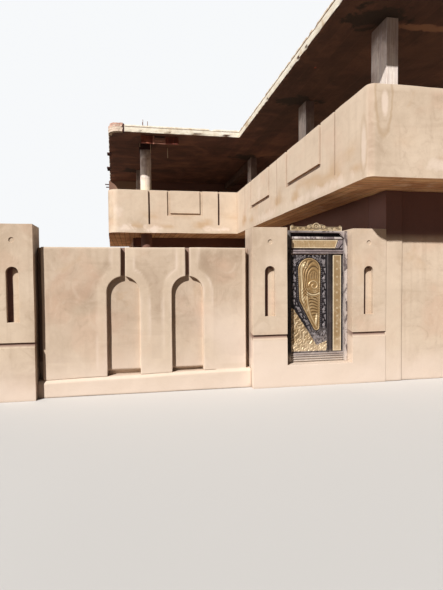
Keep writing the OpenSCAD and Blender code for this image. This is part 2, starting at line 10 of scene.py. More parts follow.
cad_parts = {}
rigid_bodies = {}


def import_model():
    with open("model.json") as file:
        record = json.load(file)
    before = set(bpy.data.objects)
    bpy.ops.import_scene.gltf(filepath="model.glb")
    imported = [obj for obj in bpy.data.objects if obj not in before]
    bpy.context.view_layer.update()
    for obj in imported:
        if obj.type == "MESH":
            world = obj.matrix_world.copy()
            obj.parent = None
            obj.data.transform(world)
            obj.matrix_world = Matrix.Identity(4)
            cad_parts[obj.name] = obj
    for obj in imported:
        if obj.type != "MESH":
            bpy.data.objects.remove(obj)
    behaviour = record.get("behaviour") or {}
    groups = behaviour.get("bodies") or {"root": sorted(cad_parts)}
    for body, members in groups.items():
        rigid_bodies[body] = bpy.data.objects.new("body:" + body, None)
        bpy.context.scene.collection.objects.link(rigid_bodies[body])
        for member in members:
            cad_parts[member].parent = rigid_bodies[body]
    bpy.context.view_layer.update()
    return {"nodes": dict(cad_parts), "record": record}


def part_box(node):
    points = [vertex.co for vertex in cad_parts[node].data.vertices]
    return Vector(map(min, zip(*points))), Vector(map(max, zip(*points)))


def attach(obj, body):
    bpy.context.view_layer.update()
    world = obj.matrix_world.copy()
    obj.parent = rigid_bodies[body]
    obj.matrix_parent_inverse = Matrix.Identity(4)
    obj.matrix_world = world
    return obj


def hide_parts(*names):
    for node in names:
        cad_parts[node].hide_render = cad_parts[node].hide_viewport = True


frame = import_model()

noise.seed_set(1)  # else noise_vector starts from the clock, and each run differs

# Everything is in metres in the model's own frame: street along X, house behind it along +Y, ground at z = 0.

# Camera of the photograph, solved from the wall's edges
EYE = Vector((-4.010, -15.670, 2.050))
YAW, PITCH, ROLL = math.radians(10.966), math.radians(-2.008), math.radians(-0.454)
FOCAL_PX = 458.53
LONG_SIDE_PX = 590
SENSOR_MM = 36.0


def placed(name, data):
    """A new object in the scene."""
    obj = bpy.data.objects.new(name, data)
    bpy.context.scene.collection.objects.link(obj)
    return obj


def make_camera():
    forward = Vector((math.sin(YAW) * math.cos(PITCH), math.cos(YAW) * math.cos(PITCH), math.sin(PITCH)))
    right = Vector((math.cos(YAW), -math.sin(YAW), 0.0))
    up = right.cross(forward)
    right, up = (math.cos(ROLL) * right + math.sin(ROLL) * up,
                 -math.sin(ROLL) * right + math.cos(ROLL) * up)
    data = bpy.data.cameras.new("camera")
    data.sensor_width = SENSOR_MM
    data.lens = FOCAL_PX / LONG_SIDE_PX * SENSOR_MM
    data.clip_start, data.clip_end = 0.1, 500.0
    camera = placed("camera", data)
    turn = Matrix((right, up, -forward)).transposed()
    camera.matrix_world = Matrix.Translation(EYE) @ turn.to_4x4()
    bpy.context.scene.camera = camera


# Materials

class Shader:
    """A material's node tree with short ways to add nodes."""

    def __init__(self, name):
        self.material = bpy.data.materials.new(name)
        self.material.use_nodes = True
        self.nodes, self.links = self.material.node_tree.nodes, self.material.node_tree.links
        self.place = self.add("TexCoord").outputs["Object"]

    def set(self, socket, value):
        if hasattr(value, "is_output"):
            self.links.new(value, socket)
        else:
            socket.default_value = (*value, 1.0) if socket.type == "RGBA" else value

    def add(self, kind, inputs=(), **settings):
        """A node of a kind, with its settings and what goes into its sockets."""
        node = self.nodes.new("ShaderNode" + kind)
        for name, value in settings.items():
            setattr(node, name, value)
        for socket, value in dict(inputs).items():
            self.set(node.inputs[socket], value)
        return node

    def mapped(self, scale, turn=(0, 0, 0), shift=(0, 0, 0)):
        return self.add("Mapping", {"Vector": self.place, "Scale": scale, "Rotation": turn,
                                    "Location": shift}).outputs["Vector"]

    def noise(self, scale, detail=4.0, rough=0.55, distortion=0.0, vector=None):
        return self.add("TexNoise", {"Vector": vector or self.place, "Scale": scale, "Detail": detail,
                                     "Roughness": rough, "Distortion": distortion}).outputs["Fac"]

    def cells(self, scale, output="Distance"):
        return self.add("TexVoronoi", {"Vector": self.place, "Scale": scale}).outputs[output]

    def ramp(self, value, *stops):
        node = self.add("ValToRGB", {"Fac": value})
        ramp = node.color_ramp
        while len(ramp.elements) < len(stops):
            ramp.elements.new(0.5)
        for element, (at, colour) in zip(ramp.elements, stops):
            element.position = at
            element.color = (*colour, 1.0)
        return node.outputs["Color"]

    def grey(self, value, low, high, dark=0.0, light=1.0):
        """A value's levels from low to high, spread softly from dark to light."""
        return self.add("MapRange", {"Value": value, "From Min": low, "From Max": high, "To Min": dark,
                                     "To Max": light}, interpolation_type="SMOOTHSTEP").outputs["Result"]

    def math(self, kind, a, b=0.0):
        return self.add("Math", {0: a, 1: b}, operation=kind).outputs["Value"]

    def times(self, a, b):
        return self.math("MULTIPLY", a, b)

    def plus(self, a, b):
        return self.math("ADD", a, b)

    def mix(self, factor, a, b):
        return self.add("Mix", {0: factor, 6: a, 7: b}, data_type="RGBA").outputs[2]

    def coats(self, colour, *layers):
        """A colour under layers. Each has its tone and its cover, or else a value, the levels between which
        the cover grows, and its greatest strength."""
        for tone, cover, *levels in layers:
            if levels:
                low, high, strength = levels
                cover = self.grey(cover, low, high, 0.0, strength)
            colour = self.mix(cover, colour, tone)
        return colour

    def axis(self, name):
        return self.add("SeparateXYZ", {"Vector": self.place}).outputs[name]

    def facing(self, name):
        normal = self.add("NewGeometry").outputs["True Normal"]
        return self.add("SeparateXYZ", {"Vector": normal}).outputs[name]

    def ragged_height(self, unevenness, *noise_values):
        return self.plus(self.axis("Z"), self.times(self.noise(*noise_values), unevenness))

    def oval(self, centre, size, ragged=0.10, scale=3.0):
        """Distance from a point counted in an oval's own radii, ragged like a stain's."""
        scaled = self.mapped([1.0 / r for r in size], shift=[-c / r for c, r in zip(centre, size)])
        length = self.add("VectorMath", {0: scaled}, operation="LENGTH").outputs["Value"]
        return self.plus(length, self.grey(self.noise(scale, 4.0, 0.6, 0.4), 0.3, 0.7, -ragged, ragged))

    def planks(self, across, width, joint=0.012):
        """Joints between planks of a width, and a tone of each plank's own."""
        run = self.math("DIVIDE", across, width)
        own = self.add("TexWhiteNoise", {"W": self.math("ROUND", run)}, noise_dimensions="1D")
        return self.grey(self.math("PINGPONG", run, 0.5), 0.5 - joint / width, 0.5), own.outputs["Value"]

    def painted(self, name):
        """A value kept on the mesh's points."""
        return self.add("Attribute", attribute_name=name).outputs["Fac"]

    def corners(self, reach):
        """1 in the open, towards 0 in grooves and inner corners."""
        return self.add("AmbientOcclusion", {"Distance": reach}, samples=4).outputs["AO"]

    def finish(self, colour, roughness, *bumps, metallic=0.0):
        """The material, with bumps that each have a height, its depth in metres and its strength."""
        surface = self.nodes["Principled BSDF"].inputs
        for name, value in (("Base Color", colour), ("Roughness", roughness), ("Metallic", metallic)):
            self.set(surface[name], value)
        below = {}
        for height, depth, strength in bumps:
            bump = self.add("Bump", {"Height": height, "Distance": depth, "Strength": strength, **below})
            below = {"Normal": bump.outputs["Normal"]}
        for name, value in below.items():
            self.set(surface[name], value)
        return self.material


def srgb(r, g, b):
    """A colour given as 0 to 255 in sRGB, in linear light."""
    return tuple(c / 12.92 if c <= 0.04045 else ((c + 0.055) / 1.055) ** 2.4
                 for c in (r / 255, g / 255, b / 255))


def tinted(colour, *factors):
    """A colour with its channels scaled, by one factor or one each, and kept darker than paper."""
    return tuple(min(0.9, c * k) for c, k in zip(colour, 3 * factors))


# Dried runs on the corner of the parapet: middle, radii, strength of the pale fill and of the brown rim
RUNS = [((0.185, -8.55, 4.97), (0.095, 1.0, 0.30), 0.75, 0.0),
        ((0.165, -8.55, 5.06), (0.155, 1.0, 0.56), 0.0, 0.42),
        ((-0.103, -8.36, 4.32), (0.3, 0.11, 0.50), 0.55, 0.22)]
# Lime blooms along the parapets' foot: middle, radii, strength
BLOOMS = [((-4.25, 1.25, 3.90), (0.42, 1.0, 0.16), 0.9), ((-3.30, 1.25, 3.87), (0.36, 1.0, 0.15), 0.9),
          ((-0.80, 1.25, 3.90), (0.50, 1.0, 0.12), 0.9), ((-4.44, 1.25, 4.52), (0.18, 1.0, 0.26), 0.5),
          ((1.17, -8.55, 3.98), (0.20, 1.0, 0.12), 0.6), ((-0.103, -6.3, 3.89), (0.3, 2.0, 0.13), 0.5),
          ((-0.103, -2.6, 3.90), (0.3, 1.2, 0.14), 0.5), ((-0.103, -1.75, 4.75), (0.3, 0.25, 0.40), 0.4)]


def plaster_material(name, mean):
    """Trowelled earth plaster: wide blotches, trowel sweeps, wash marks, pale dust low down, sand grain, painted
    shade in corners and grooves, and where painted so painted shade with some grime.
    """
    s = Shader(name)
    dark, light, dust = (tinted(mean, *k) for k in ((0.70, 0.65, 0.61), (1.24, 1.28, 1.33), (1.42, 1.50, 1.70)))
    ochre, rose = tinted(mean, 0.90, 0.74, 0.55), tinted(mean, 1.06, 0.93, 0.90)
    # The dark tone of painted shade, and of some grime, where the points are painted for it.
    shade_and_soot_tone, umber = tinted(mean, 0.24, 0.125, 0.14), tinted(mean, 0.66, 0.54, 0.38)
    sweep, patch, grain = s.noise(2.6, 5.0, 0.62, 1.6), s.noise(6.5, 4.0, 0.6, 1.0), s.noise(240.0, 2.0, 0.6)
    wash = s.noise(2.2, 3.0, 0.5, 0.3, s.mapped((3.4, 3.4, 0.30)))
    level = s.noise(1.8, 3.0, 0.5, 0.3, s.mapped((0.5, 0.5, 4.0)))
    blush = s.noise(0.9, 3.0, 0.5, 0.4, s.mapped((1.1, 1.0, 1.3), (0.4, 0.7, 0.2)))
    colour = s.coats(
        s.ramp(s.noise(0.75, 5.0, 0.6, 0.5), (0.30, dark), (0.48, mean), (0.72, light)),
        (rose, blush, 0.5, 0.7, 0.7),
        (light, sweep, 0.48, 0.70, 0.42),
        (dark, sweep, 0.46, 0.30, 0.38),
        (dark, level, 0.55, 0.72, 0.22),
        (ochre, s.noise(1.3, 4.0, 0.6, 0.8), 0.58, 0.75, 0.35),
        (dark, patch, 0.5, 0.8, 0.30),
        (dark, wash, 0.50, 0.75, 0.30),
        # Pale points: lime, newer coats and bands, and painted light on the parapet's outer side face.
        (light, s.times(s.painted("pale"), 0.8)),
        (dust, s.ragged_height(0.9, 1.6, 4.0), 1.4, 0.35, 0.85),
        (ochre, s.times(s.painted("stain"), 0.8)),
        (dust, s.painted("chalk")))
    for centre, size, fill, rim in RUNS:
        off = s.oval(centre, size)
        colour = s.coats(colour, (dust, off, 0.85, 0.45, fill),
                         (umber, s.math("ABSOLUTE", s.math("SUBTRACT", off, 1.0)), 0.24, 0.0, rim))
    for centre, size, strength in BLOOMS:
        colour = s.coats(colour, (dust, s.oval(centre, size, 0.50, 3.6), 1.15, 0.20, strength))
    under = s.times(s.grey(s.facing("Z"), -0.35, -0.75), s.grey(s.axis("Z"), 3.6, 3.7))
    # Painted shade darkens inner corners and grooves; the points painted for shade and grime take the dark tone.
    colour = s.coats(colour, (dark, s.corners(0.10), 0.75, 0.35, 0.55), (dark, grain, 0.3, 0.7, 0.15),
                     (soffit_boards(s), under), (shade_and_soot_tone, s.painted("grime")))
    return s.finish(colour, 0.93, (sweep, 0.010, 0.5), (patch, 0.005, 0.45), (grain, 0.0012, 0.5))


def soffit_boards(s):
    """Underside of the first floor: the print of planks laid along its edges, still orange-brown."""
    across = s.mix(s.grey(s.axis("Y"), -7.45, -7.46), s.axis("X"), s.axis("Y"))
    joint, own = s.planks(across, 0.19)
    deep = srgb(188, 136, 98)
    return s.coats(
        s.ramp(s.noise(1.1, 5.0, 0.65, 0.8), (0.32, deep), (0.5, srgb(238, 194, 146)), (0.70, srgb(250, 212, 158))),
        (deep, own, 0.2, 0.9, 0.45),
        (srgb(238, 216, 186), s.noise(3.2, 4.0, 0.6, 0.6), 0.52, 0.72, 0.55),
        (srgb(66, 38, 28), s.times(joint, 0.85)))


def concrete_material(name, mean, dark, light, boards=0.0):
    """Stained concrete, or wood, with streaks where it is board-marked."""
    s = Shader(name)
    patch, grain = s.noise(7.0, 4.0, 0.6, 0.5), s.noise(190.0, 3.0, 0.6)
    streak = s.noise(4.0, 3.0, 0.6, 0.2, s.mapped((9.0, 9.0, 0.6)))
    colour = s.coats(
        s.ramp(s.noise(1.3, 5.0, 0.65, 0.8), (0.30, dark), (0.5, mean), (0.70, light)),
        (dark, patch, 0.5, 0.8, 0.45),
        (dark, streak, 0.45, 0.70, boards),
        (light, streak, 0.42, 0.25, boards),
        (dark, grain, 0.35, 0.7, 0.25))
    return s.finish(colour, 0.92, (patch, 0.004, 0.7), (grain, 0.0015, 0.5))


def column_material(name):
    """Grey column concrete: upright board prints, honeycomb, a darker head under the roof, and cream at the foot
    that is dust and painted sunlight.
    """
    s = Shader(name)
    dark, light = srgb(166, 142, 128), srgb(246, 238, 226)
    joint, own = s.planks(s.plus(s.axis("X"), s.axis("Y")), 0.085, 0.008)
    streak = s.noise(4.0, 3.0, 0.6, 0.2, s.mapped((9.0, 9.0, 0.6)))
    grain = s.noise(190.0, 3.0, 0.6)
    head = s.ragged_height(0.7, 5.0, 4.0)
    front = s.grey(s.facing("Y"), -0.4, -0.6)
    spared_face = s.times(front, s.grey(s.axis("Y"), -4.0, -5.0, 0.0, 0.5))
    # Darker towards the head under the roof, except on the street faces of the front row.
    dark_head = s.times(s.grey(head, 6.72, 7.24, 0.0, 0.72), s.math("SUBTRACT", 1.0, spared_face))
    inner = s.times(s.times(s.grey(s.axis("Y"), -5.0, -4.0), front), s.grey(s.axis("X"), 0.0, 0.1))
    hollow = s.times(s.grey(s.cells(34.0), 0.16, 0.05), s.grey(s.noise(3.0, 3.0), 0.52, 0.60))
    colour = s.coats(
        s.ramp(s.noise(1.9, 5.0, 0.65, 0.8), (0.30, dark), (0.5, srgb(230, 216, 204)), (0.70, light)),
        (srgb(202, 188, 186), own, 0.1, 0.9, 0.55),
        (dark, streak, 0.45, 0.72, 0.65),
        (light, s.times(joint, 0.45)),
        (srgb(84, 66, 60), dark_head),
        # Cream at the foot, where the sun falls below the roof's shadow: dust and painted sunlight.
        (srgb(248, 232, 200), head, 6.25, 5.6, 0.80),
        (srgb(70, 44, 40), s.times(inner, s.grey(head, 5.3, 5.9, 0.35, 0.72))),
        (dark, s.times(hollow, 0.7)),
        (dark, grain, 0.35, 0.7, 0.25))
    return s.finish(colour, 0.92, (joint, 0.003, 0.7), (hollow, -0.004, 0.7), (grain, 0.0015, 0.5))


# Patches of the roof's soffit: middle, radii, tone
SOFFIT_PATCHES = [((1.95, -7.22, 7.06), (0.62, 0.13, 1.0), srgb(168, 124, 96)),
                  ((0.333, -5.218, 7.06), (0.03, 0.05, 1.0), srgb(190, 84, 60)),
                  ((2.3, -6.2, 7.06), (0.9, 0.35, 1.0), srgb(92, 60, 48)),
                  ((0.4, -5.6, 7.06), (0.35, 0.12, 1.0), srgb(78, 48, 40))]


def roof_material(name, heads):
    """Roof slab: lime-white streaked edge with a worn tan lip, and a dark brown underside with plank prints, darker
    over the front wing.
    """
    s = Shader(name)
    patch, grain = s.noise(7.0, 4.0, 0.6, 0.5), s.noise(190.0, 3.0, 0.6)
    layer = s.noise(3.0, 4.0, 0.6, 0.4, s.mapped((0.8, 0.8, 22.0)))
    tan = srgb(198, 176, 146)
    lip = s.times(s.grey(s.axis("Z"), 7.225, 7.275), s.grey(s.noise(5.0, 3.0, 0.6, 0.3), 0.40, 0.54))
    lip = s.times(lip, s.grey(s.axis("Y"), 0.30, 0.20, 0.25, 1.0))
    dash = s.grey(s.noise(7.0, 2.0, 0.5), 0.42, 0.58, 0.25, 0.95)
    edge = s.coats(
        s.ramp(s.noise(1.6, 5.0, 0.65, 0.8), (0.30, tan), (0.46, srgb(232, 224, 206)), (0.70, srgb(244, 240, 228))),
        (tan, layer, 0.54, 0.66, 0.75),
        (srgb(150, 136, 118), layer, 0.40, 0.34, 0.6),
        (srgb(170, 138, 106), s.times(lip, dash)),
        (tan, patch, 0.56, 0.75, 0.45))

    across = s.mix(s.grey(s.axis("X"), -0.30, -0.31), s.axis("X"), s.axis("Y"))
    joint, own = s.planks(across, 0.30, 0.014)
    deep, warm = srgb(68, 40, 34), srgb(152, 104, 80)
    soffit = s.coats(
        s.ramp(s.noise(0.9, 5.0, 0.65, 0.9), (0.30, deep), (0.48, srgb(106, 66, 56)), (0.72, warm)),
        (deep, own, 0.3, 0.9, 0.35),
        (warm, patch, 0.60, 0.75, 0.45),
        (warm, s.times(joint, 0.4)),
        (srgb(158, 112, 84), s.cells(1.4), 0.06, 0.03, 0.6),
        (srgb(28, 18, 16), s.axis("Y"), 1.5, -2.5, 0.45),
        *[(tone, s.oval(centre, size, 0.30, 2.2), 1.1, 0.6, 0.75) for centre, size, tone in SOFFIT_PATCHES],
        *[(srgb(22, 15, 14), s.oval((x - 0.22, y - 0.12, z), (0.64, 0.42, 1.0), 0.42, 3.0), 1.05, 0.78, 0.86)
          for x, y, z in heads])

    deck = s.coats(
        s.ramp(s.noise(0.35, 5.0, 0.6, 0.6), (0.32, srgb(164, 150, 134)), (0.5, srgb(190, 178, 160)),
               (0.68, srgb(210, 200, 184))),
        (srgb(140, 122, 104), s.noise(1.8, 5.0, 0.65, 1.2), 0.52, 0.72, 0.35))
    colour = s.coats(edge, (soffit, s.facing("Z"), -0.45, -0.80, 1.0), (deck, s.facing("Z"), 0.80, 0.95, 1.0),
                     (tinted(tan, 0.5), grain, 0.35, 0.7, 0.2))
    return s.finish(colour, 0.92, (layer, 0.008, 0.7), (patch, 0.005, 0.7), (grain, 0.0015, 0.5))


def brick_material(name):
    """Fired bricks, the lower courses smeared with lime mortar."""
    s = Shader(name)
    smear = s.plus(s.noise(16.0, 4.0, 0.6, 0.5), s.grey(s.axis("Z"), 7.30, 7.20, -0.10, 0.18))
    colour = s.coats(srgb(190, 152, 136), (srgb(164, 124, 110), s.cells(9.0, "Color"), 0.2, 0.8, 1.0),
                     (srgb(208, 168, 146), s.noise(40.0, 4.0, 0.6), 0.4, 0.7, 0.5),
                     (srgb(208, 196, 178), smear, 0.50, 0.60, 0.7))
    return s.finish(colour, 0.94, (smear, 0.004, 0.6), (s.noise(150.0, 3.0, 0.6), 0.002, 0.6))


def metal_material(name, mean, worn, roughness, metallic=0.6):
    """Painted steel with rubbed patches, runs, painted shade in its corners and, where painted so, torn whitish film
    and darkening that is dark paint on some parts and painted shadow and shade on others.
    """
    s = Shader(name)
    wear = s.noise(5.0, 6.0, 0.68, 0.6)
    torn = s.grey(s.noise(9.0, 5.0, 0.7, 1.0, s.mapped((1.0, 1.0, 0.35))), 0.43, 0.50)
    colour = s.coats(
        mean,
        (worn, wear, 0.46, 0.66, 0.7),
        (worn, s.noise(3.0, 4.0, 0.6, 0.3, s.mapped((14.0, 14.0, 0.8))), 0.50, 0.72, 0.45),
        # Where painted dark: dark paint on the mullion and right post, painted shadow on the left post, painted
        # shade between mouldings and in a slot.
        (tinted(mean, 0.05), s.painted("dark")),
        (srgb(206, 192, 176), s.ragged_height(0.12, 7.0, 4.0), 0.72, 0.52, 0.60),
        (srgb(214, 204, 198), s.times(s.painted("film"), torn)),
        # Painted shade in corners.
        (tinted(mean, 0.35), s.corners(0.02), 0.8, 0.35, 0.6))
    return s.finish(colour, s.grey(wear, 0.3, 0.7, roughness, roughness + 0.25),
                    (s.noise(110.0, 3.0, 0.6), 0.0005, 0.4), metallic=metallic)


def leaf_material(name, ground, silver):
    """Near-black enamel with silvered ornament where painted so."""
    s = Shader(name)
    wear = s.noise(14.0, 5.0, 0.65, 0.4)
    settled_dust = s.grey(s.ragged_height(0.5, 6.0, 5.0, 0.65, 0.8), 1.42, 1.05, 0.0, 0.62)
    mottled = s.grey(s.noise(34.0, 5.0, 0.65, 0.5), 0.40, 0.60, 0.15, 1.0)
    bright = s.mix(s.grey(wear, 0.35, 0.7), tinted(silver, 0.6), silver)
    lit = s.grey(s.painted("silver"), 0.18, 0.7)
    colour = s.coats(ground, (srgb(96, 82, 84), s.noise(2.2, 4.0, 0.6, 0.5), 0.45, 0.75, 0.14),
                     (srgb(176, 164, 160), s.times(settled_dust, mottled)), (bright, lit))
    return s.finish(colour, s.grey(wear, 0.3, 0.7, 0.34, 0.55), (s.noise(120.0, 3.0, 0.6), 0.0006, 0.4),
                    metallic=s.times(lit, 0.5))


def gilt_material(name, mean, bright, deep):
    """Pressed sheet in dull gold paint, with painted shade in its hollows and corners, and, where painted so, rubbed
    pale places and painted highlights.
    """
    s = Shader(name)
    wear = s.noise(8.0, 5.0, 0.65, 0.6)
    colour = s.coats(
        tinted(mean, 0.86, 0.80, 0.70),
        (mean, s.noise(1.8, 4.0, 0.6, 0.6), 0.35, 0.65, 1.0),
        (bright, wear, 0.50, 0.72, 0.45),
        # Painted shade in the hollows and corners, and where painted deep; on the side strip that paint is an even
        # darker tone.
        (deep, s.corners(0.014), 0.92, 0.45, 0.85),
        (deep, s.times(s.painted("deep"), 0.75)),
        # Pale where painted so: rubbed wear, and painted highlights on crests and edges.
        (bright, s.painted("pale")),
        (srgb(226, 206, 176), s.ragged_height(0.5, 5.0, 4.0), 1.20, 0.85, 0.55))
    return s.finish(colour, s.grey(wear, 0.3, 0.7, 0.36, 0.55), (s.noise(150.0, 3.0, 0.6), 0.0005, 0.4),
                    metallic=0.35)


PLASTER = plaster_material("earth_plaster", srgb(194, 174, 152))
YARD = plaster_material("yard_plaster", srgb(186, 158, 132))
CONCRETE = column_material("column_concrete")
FLOOR = concrete_material("floor_concrete", srgb(176, 164, 150), srgb(120, 106, 94), srgb(214, 204, 186))
STEEL = metal_material("gate_steel", srgb(30, 27, 32), srgb(84, 76, 82), 0.38)
RAIL = metal_material("gate_rails", srgb(128, 116, 118), srgb(176, 162, 158), 0.45, 0.3)
LEAF_STEEL = leaf_material("leaf_enamel", srgb(20, 15, 20), srgb(178, 170, 172))
GILT = gilt_material("gilt", srgb(164, 134, 92), srgb(232, 214, 176), srgb(62, 44, 28))
GILT_PALE = gilt_material("gilt_pale_and_highlight", srgb(190, 164, 126), srgb(238, 222, 192), srgb(96, 74, 48))
GILT_BRIGHT = gilt_material("gilt_bright", srgb(218, 198, 164), srgb(246, 236, 212), srgb(64, 44, 28))
BOARDS = concrete_material("boards", srgb(112, 50, 36), srgb(58, 28, 24), srgb(160, 92, 66), 0.6)
STICK = concrete_material("sticks", srgb(206, 186, 160), srgb(140, 116, 92), srgb(232, 218, 196))
RUST = concrete_material("rusty_bar", srgb(110, 66, 44), srgb(66, 40, 30), srgb(140, 90, 60))
BEAM = concrete_material("beam_concrete", srgb(92, 66, 52), srgb(58, 38, 30), srgb(128, 98, 78), 0.5)
SOOTED = concrete_material("stained_boards", srgb(60, 30, 30), srgb(30, 16, 18), srgb(96, 60, 54), 0.5)
DUSTY = concrete_material("dusty_boards", srgb(168, 118, 100), srgb(120, 72, 58), srgb(200, 160, 142), 0.5)
BRICK = brick_material("kerb_brick")
MORTAR = concrete_material("mortar", srgb(190, 176, 158), srgb(140, 122, 104), srgb(212, 202, 186))
ROOF_LOW, ROOF_TOP = (corner[2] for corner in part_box("roof_house"))
HEADS = [(x, y, ROOF_LOW) for x in (0.865, 4.992) for y in (-7.260, -3.070, 3.030)] + [(-3.645, 6.120, ROOF_LOW)]
ROOF = roof_material("roof_concrete", HEADS)

SLOT_MATERIAL = {"plaster": PLASTER, "concrete": FLOOR, "gunmetal": STEEL, "gilt": GILT,
                 "brick": BRICK, "timber": BOARDS, "rusty_steel": RUST}
SLOTS = {row["node"]: row["material_slot"] for row in frame["record"]["subparts"]}


def dress_cad_nodes():
    for name, obj in frame["nodes"].items():
        obj.data.materials.clear()
        obj.data.materials.append(SLOT_MATERIAL[SLOTS[name]])


# Mesh tools

def node_mesh(name):
    """A CAD node's mesh as a closed bmesh."""
    bm = bmesh.new()
    bm.from_mesh(frame["nodes"][name].data)
    bmesh.ops.remove_doubles(bm, verts=bm.verts, dist=1e-5)
    return bm


def new_object(name, bm):
    mesh = bpy.data.meshes.new(name)
    bm.to_mesh(mesh)
    bm.free()
    return placed(name, mesh)


def unit_cube():
    bm = bmesh.new()
    bmesh.ops.create_cube(bm, size=1.0)
    return bm


def reshaped(obj, change):
    """The object, its mesh changed by a function that takes it as a bmesh."""
    bm = bmesh.new()
    bm.from_mesh(obj.data)
    change(bm)
    bm.to_mesh(obj.data)
    bm.free()
    return obj


def settled(obj):
    """The object's mesh with its modifiers applied."""
    bpy.context.view_layer.update()
    seen = obj.evaluated_get(bpy.context.evaluated_depsgraph_get())
    mesh = bpy.data.meshes.new_from_object(seen)
    obj.modifiers.clear()
    old, obj.data = obj.data, mesh
    bpy.data.meshes.remove(old)
    return obj


def joined(name, nodes):
    """CAD nodes fused into one solid, so that flush faces show no seam."""
    base = new_object(name, node_mesh(nodes[0]))
    others = bpy.data.collections.new(name + "_others")
    for node in nodes[1:]:
        other = new_object(node + "_copy", node_mesh(node))
        bpy.context.scene.collection.objects.unlink(other)
        others.objects.link(other)
    bpy.context.scene.collection.children.link(others)
    if len(nodes) > 1:
        fuse = base.modifiers.new("fuse", "BOOLEAN")
        fuse.operation, fuse.solver, fuse.operand_type = "UNION", "EXACT", "COLLECTION"
        fuse.collection = others
        settled(base)
    for other in list(others.objects):
        bpy.data.objects.remove(other)
    bpy.data.collections.remove(others)

    def cleaned(bm):
        bmesh.ops.remove_doubles(bm, verts=bm.verts, dist=2e-4)
        bmesh.ops.dissolve_limit(bm, angle_limit=math.radians(1.0), verts=bm.verts, edges=bm.edges)

    return reshaped(base, cleaned)


def rounded(obj, width, segments=2, angle=30.0):
    bevel = obj.modifiers.new("round", "BEVEL")
    bevel.width, bevel.segments = width, segments
    bevel.limit_method, bevel.angle_limit = "ANGLE", math.radians(angle)
    bevel.miter_outer = "MITER_ARC"
    return settled(obj)


def cut(bm, at, normal):
    """Cuts the faces that a plane crosses."""
    bmesh.ops.bisect_plane(bm, geom=bm.verts[:] + bm.edges[:] + bm.faces[:], dist=1e-4, plane_co=at,
                           plane_no=normal)


def gridded(bm, step, low, high):
    """Cuts faces along planes a step apart, between two corners."""
    for axis, normal in enumerate(Matrix.Identity(3)):
        count = int((high[axis] - low[axis]) / step[axis])
        for i in range(1, count + 1):
            cut(bm, (low[axis] + i * (high[axis] - low[axis]) / (count + 1)) * normal, normal)


def dressed(obj, material, angle):
    obj.data.materials.clear()
    obj.data.materials.append(material)
    obj.data.shade_smooth()
    obj.data.set_sharp_from_angle(angle=math.radians(angle))


def finished(obj, material, angle=48.0):
    """Smooth shading with even normals on the flat faces."""
    dressed(obj, material, angle)
    even = obj.modifiers.new("even", "WEIGHTED_NORMAL")
    even.keep_sharp = True
    return settled(obj)


def piece(obj, material, body, slot, *nodes, angle=60.0):
    """A dressed piece on its body, which stands for some CAD nodes if any are named."""
    dressed(obj, material, angle)
    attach(obj, body)
    if nodes:
        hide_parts(*nodes)
    return obj


def keep(obj, name, values):
    """Keeps a value for each of the mesh's points under a name."""
    obj.data.attributes.new(name, "FLOAT", "POINT").data.foreach_set("value", values)


def paint(obj, name, rule):
    keep(obj, name, [rule(v.co) for v in obj.data.vertices])


def sway(p, size):
    """Soft unevenness left by the hand that spread the plaster."""
    return size * noise.noise_vector(p * 1.4) + 0.45 * size * noise.noise_vector(p * 4.3 + Vector((7, 3, 5)))


def extent(points, axes=3):
    """The lowest and the highest corner of some points."""
    return [[pick(p[i] for p in points) for i in range(axes)] for pick in (min, max)]


def plastered(name, nodes, width, step, size, material=PLASTER, shape=None, cuts=(), **paints):
    """Fused CAD nodes with rounded arrises and a slightly uneven hand-spread surface."""
    obj = rounded(joined(name, nodes), width)

    def uneven(bm):
        gridded(bm, step, *extent([v.co for v in bm.verts]))
        for x in cuts:
            cut(bm, (x, 0, 0), (1, 0, 0))
        for v in bm.verts:
            if shape is not None:
                v.co = shape(v.co)
            if v.co.z > 0.001:
                v.co += sway(v.co, size)

    finished(reshaped(obj, uneven), material)
    for label, rule in paints.items():
        paint(obj, label, rule)
    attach(obj, "root")
    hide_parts(*nodes)


def smooth(x, low, high):
    t = max(0.0, min(1.0, (x - low) / (high - low)))
    return t * t * (3 - 2 * t)


# Plastered pieces

ARCH_X = (-4.175, -3.019)
ARCH_R, ARCH_SPRING, SLOT_HALF, SLOT_FOOT = 0.292, 1.818, 0.0375, 2.0
PANEL_Y, PANEL_BACK, SILL_Z, WALL_FOOT = -7.290, -7.25, 0.410, 0.62
PANEL_END_X = (-5.56, -1.92)
BAND_W = 0.165


def arch_gap(p):
    """Distance in the wall's face from the nearest arch or slot."""
    best = 9.0
    for centre in ARCH_X:
        dx = abs(p.x - centre)
        arch = dx - ARCH_R if p.z < ARCH_SPRING else math.hypot(dx, p.z - ARCH_SPRING) - ARCH_R
        best = min(best, arch, dx - SLOT_HALF if p.z > SLOT_FOOT else 9.0)
    return best


def wavy_arch_gap(p):
    return arch_gap(p) + 0.012 * noise.noise(p * 6.0)


def nearest(x, places):
    return min(abs(x - place) for place in places)


def wall_shape(p):
    """The wall stands half as deep in the arches as the solid has it, as the shadows in the photograph say."""
    if PANEL_Y < p.y < PANEL_Y + 0.24 and p.z > SILL_Z - 0.01 and arch_gap(p) < 0.016:
        return Vector((p.x, PANEL_Y + 0.5 * (p.y - PANEL_Y), p.z))
    return p


def wall_pale(p):
    gap = wavy_arch_gap(p)
    band = smooth(gap, -0.01, 0.02) * (1.0 - smooth(gap, BAND_W - 0.01, BAND_W + 0.015))
    edge = 1.0 - smooth(nearest(p.x, PANEL_END_X), 0.05, 0.08)
    top = smooth(p.z, 2.58, 2.625)
    foot = 1.0 - smooth(p.z + 0.4 * noise.noise(p * 1.3), 0.7, 1.7)
    return max(0.50 * band, 0.6 * edge, 0.9 * top, 0.6 * foot)


